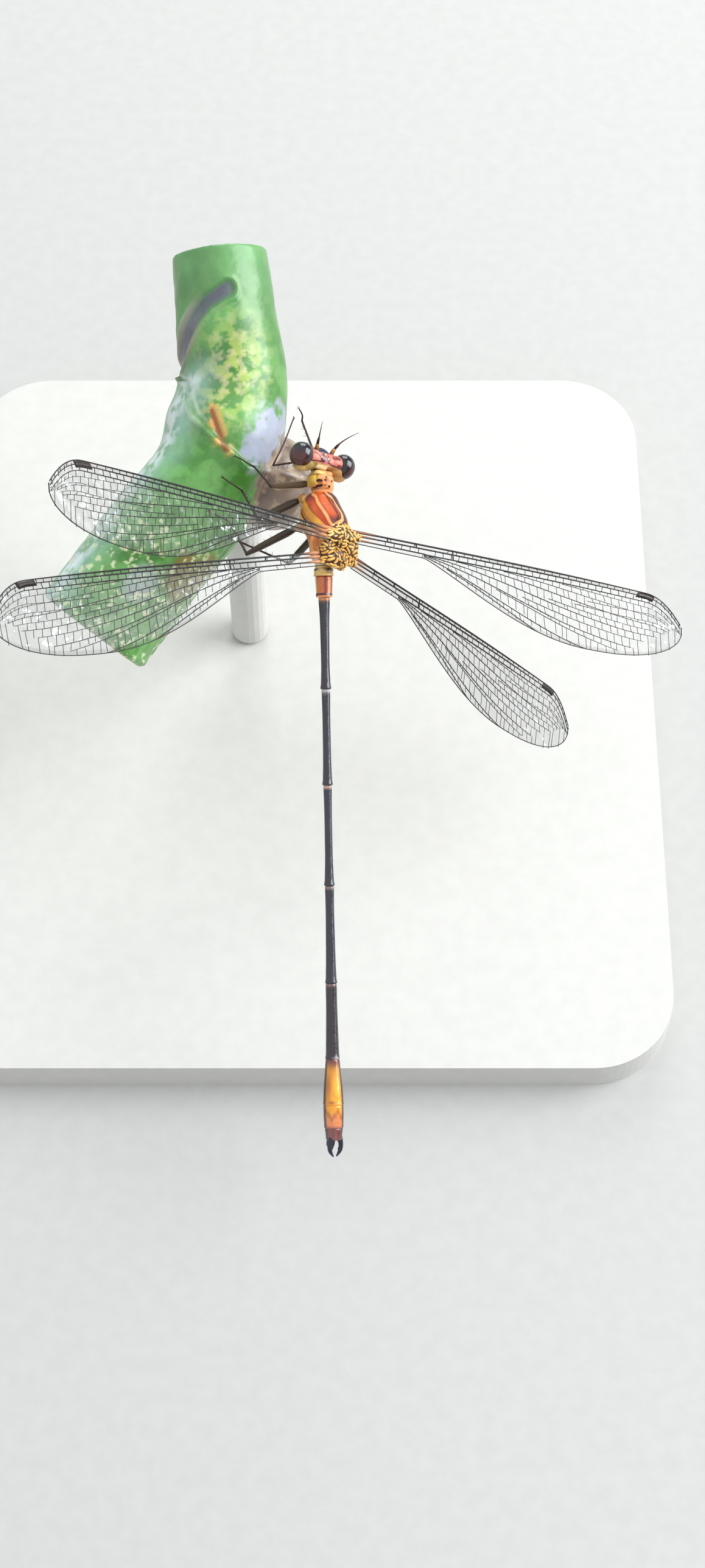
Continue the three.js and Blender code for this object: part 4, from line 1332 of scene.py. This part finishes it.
def make_leg(name, hip, toe, heel, bend):
    pair = name.split("_")[0]
    draw = random.Random(name)
    start = BODY.at(hip)
    ankle = stem_point(*heel, 0.35)
    claw = stem_point(*toe, 0.16)
    bend_world = BODY.turn @ np.array(bend, dtype=float)
    knee = knee_point(start, stem_point(*heel, 0.6), FEMUR[pair], TIBIA[pair], bend_world)
    shape = Shape()
    root = BODY.at(np.array(hip) + (0, 0, 0.5))
    shape.tube([root, start * 0.5 + root * 0.5, start, start + (knee - start) * 0.08],
               (0.36, 0.32, 0.24, 0.2), 12, OCHRE)
    share = np.linspace(0, 1, 16)
    thigh = start + (knee - start) * share[:, None]
    thick = {"fore": 1.0, "mid": 1.1, "hind": 1.0}[pair]
    widths = spline((0, 0.12, 0.45, 0.9, 1), (0.16, 0.24, 0.25, 0.18, 0.13), share) * thick
    shape.tube(thigh, widths, 12, tone(86, 66, 42) if pair == "fore" else tone(58, 44, 30))
    under = BODY.turn @ np.array((0, -1.0, -0.3))
    shape.tube(thigh[1:-1] + under * widths[1:-1, None] * 0.75, widths[1:-1] * 0.34, 8, tone(206, 176, 128))
    shin = knee + (ankle - knee) * share[:, None]
    shape.tube(shin, spline((0, 0.06, 0.5, 1), (0.12, 0.1, 0.075, 0.07), share), 10, BROWN)
    shape.ellipsoid(knee, (0.14, 0.14, 0.14), 12, 8, BROWN)
    middle = (ankle + claw) / 2 + (stem_point(*heel, 0.5) - stem_point(*heel, 0.3)) * 0.6
    foot = catmull([ankle, middle, claw], 10)
    shape.tube(foot, np.linspace(0.065, 0.045, 10), 8, BROWN * 0.8)
    for tine in (-1, 1):
        away = np.cross(claw - ankle, stem_point(*toe, 1) - stem_point(*toe, 0))
        away = unit(away) * 0.07 * tine
        middle = claw + (claw - ankle) * 0.1 + away
        tip = stem_point(*toe, 0.02) + (claw - ankle) * 0.12 + away
        shape.tube([claw, middle, tip], (0.035, 0.028, 0.01), 6, BROWN)
    for first, last, radius in ((start, knee, 0.17), (knee, ankle, 0.08)):
        axis = unit(last - first)
        inner = square_to(axis, ankle - start if first is start else start - knee)
        for row in (-32, 32):
            way = turned(inner, axis, row)
            for step in range(6):
                root = first + (last - first) * (0.2 + 0.13 * step) + way * radius * 0.7
                tip = root + way * draw.uniform(0.24, 0.34) + axis * 0.14
                shape.tube([root, (root + tip) / 2, tip], (0.019, 0.014, 0.004), 5, BROWN * 0.7)
    piece = shape.build(f"leg_{name}_skin")
    nodes = [f"leg_{name}_{part}" for part in ("femur", "tibia", "tarsus")]
    return finish_piece(piece, cuticle(f"leg_{name}_cuticle", rough=0.42, shine=0.35), nodes)


# Stand, floor, light and camera
def plain_material(name, colour, rough):
    surface = Surface(name)
    speckle = surface.noise(900, detail=5.0)
    darker = [share * 0.96 for share in colour]
    surface.feed(surface.inputs["Base Color"], surface.mix(speckle, darker, colour))
    surface.relief(speckle, strength=0.15, depth=0.02)
    surface.inputs["Roughness"].default_value = rough
    return surface.material


def dress_stand():
    material = plain_material("stand_matt", (0.56, 0.55, 0.52), 0.55)
    for node in ("stand_base", "stand_rod"):
        piece = bpy.data.objects[node]
        piece.data.materials.clear()
        piece.data.materials.append(material)


def make_floor():
    reach = 1.5
    corners = [(x * reach, y * reach, 0) for x, y in ((-1, -1), (1, -1), (1, 1), (-1, 1))]
    mesh = bpy.data.meshes.new("floor")
    mesh.from_pydata(corners, [], [(0, 1, 2, 3)])
    floor = add_object("floor", mesh)
    mesh.materials.append(plain_material("floor_matt", (0.46, 0.455, 0.44), 0.75))


def set_in_place(item, place, right, up, back):
    """Puts a light or the camera at a place in millimetres, by its three axes."""
    turn = Matrix(np.stack([right, up, back], axis=1).tolist())
    item.matrix_world = Matrix.Translation((place * MM).tolist()) @ turn.to_4x4()


def make_light(name, direction, distance, size, watts, colour):
    """A square light that faces the insect from a direction."""
    data = bpy.data.lights.new(name, "AREA")
    data.size = size * MM
    data.energy = watts
    data.color = colour
    back = unit(np.array(direction))
    right = unit(np.cross((0, 0.2, 1), back))
    place = np.array(THORAX_CENTRE) + back * distance
    set_in_place(add_object(name, data), place, right, np.cross(back, right), back)


def make_daylight(direction, strength, colour):
    """Even light from far away, so that the whole floor stays pale."""
    data = bpy.data.lights.new("daylight", "SUN")
    data.energy = strength
    data.angle = math.radians(150)
    data.color = colour
    light = add_object("daylight", data)
    light.rotation_euler = Vector(direction).to_track_quat("Z", "Y").to_euler()


def make_camera():
    tilt = math.radians(CAMERA_UP)
    right = np.array((1.0, 0.0, 0.0))
    up = np.array((0.0, math.sin(tilt), math.cos(tilt)))
    back = np.array((0.0, -math.cos(tilt), math.sin(tilt)))
    centre = np.array(THORAX_CENTRE) - right * THORAX_IN_VIEW[0] - up * THORAX_IN_VIEW[1]
    data = bpy.data.cameras.new("camera")
    data.sensor_width = SENSOR
    data.lens = PIXELS_PER_MM * CAMERA_DISTANCE / PHOTO_HEIGHT * SENSOR
    data.clip_start = 0.01
    camera = add_object("camera", data)
    set_in_place(camera, centre + back * CAMERA_DISTANCE, right, up, back)
    bpy.context.scene.camera = camera


def make_world():
    world = bpy.data.worlds.new("studio")
    world.use_nodes = True
    background = world.node_tree.nodes["Background"]
    background.inputs["Color"].default_value = (0.9, 0.95, 1.0, 1)
    background.inputs["Strength"].default_value = 0.36
    bpy.context.scene.world = world
    bpy.context.scene.view_settings.view_transform = "Standard"


make_camera()
make_world()
make_light("key", (0.84, 0.14, 0.56), distance=600, size=500, watts=6.2, colour=(0.95, 0.98, 1.0))
make_daylight((-0.8, -0.4, 1.0), strength=2.1, colour=(0.94, 0.97, 1.0))
make_light("rim", (0.1, 1.0, 0.5), distance=380, size=200, watts=0.6, colour=(1.0, 0.98, 0.95))
make_floor()
dress_stand()

MEMBRANE = membrane_material()
VEIN = cuticle("wing_vein", rough=0.4, shine=0.4)

make_sclerites(make_thorax())
make_prothorax()
make_head()
for side_name, side_sign in SIDES:
    make_eye(side_name, side_sign)
    make_antenna(side_name, side_sign)
    for wing_pair in ("fore", "hind"):
        wing = Wing(wing_pair, side_name, side_sign)
        wing.make_membrane()
        wing.make_veins()
make_abdomen("abdomen_front_skin", 0, 2)
make_abdomen("abdomen_skin", 2, 7)
make_abdomen("tail_skin", 7, 10)
make_tail_tip()
for leg in LEGS:
    make_leg(*leg)
make_stem()
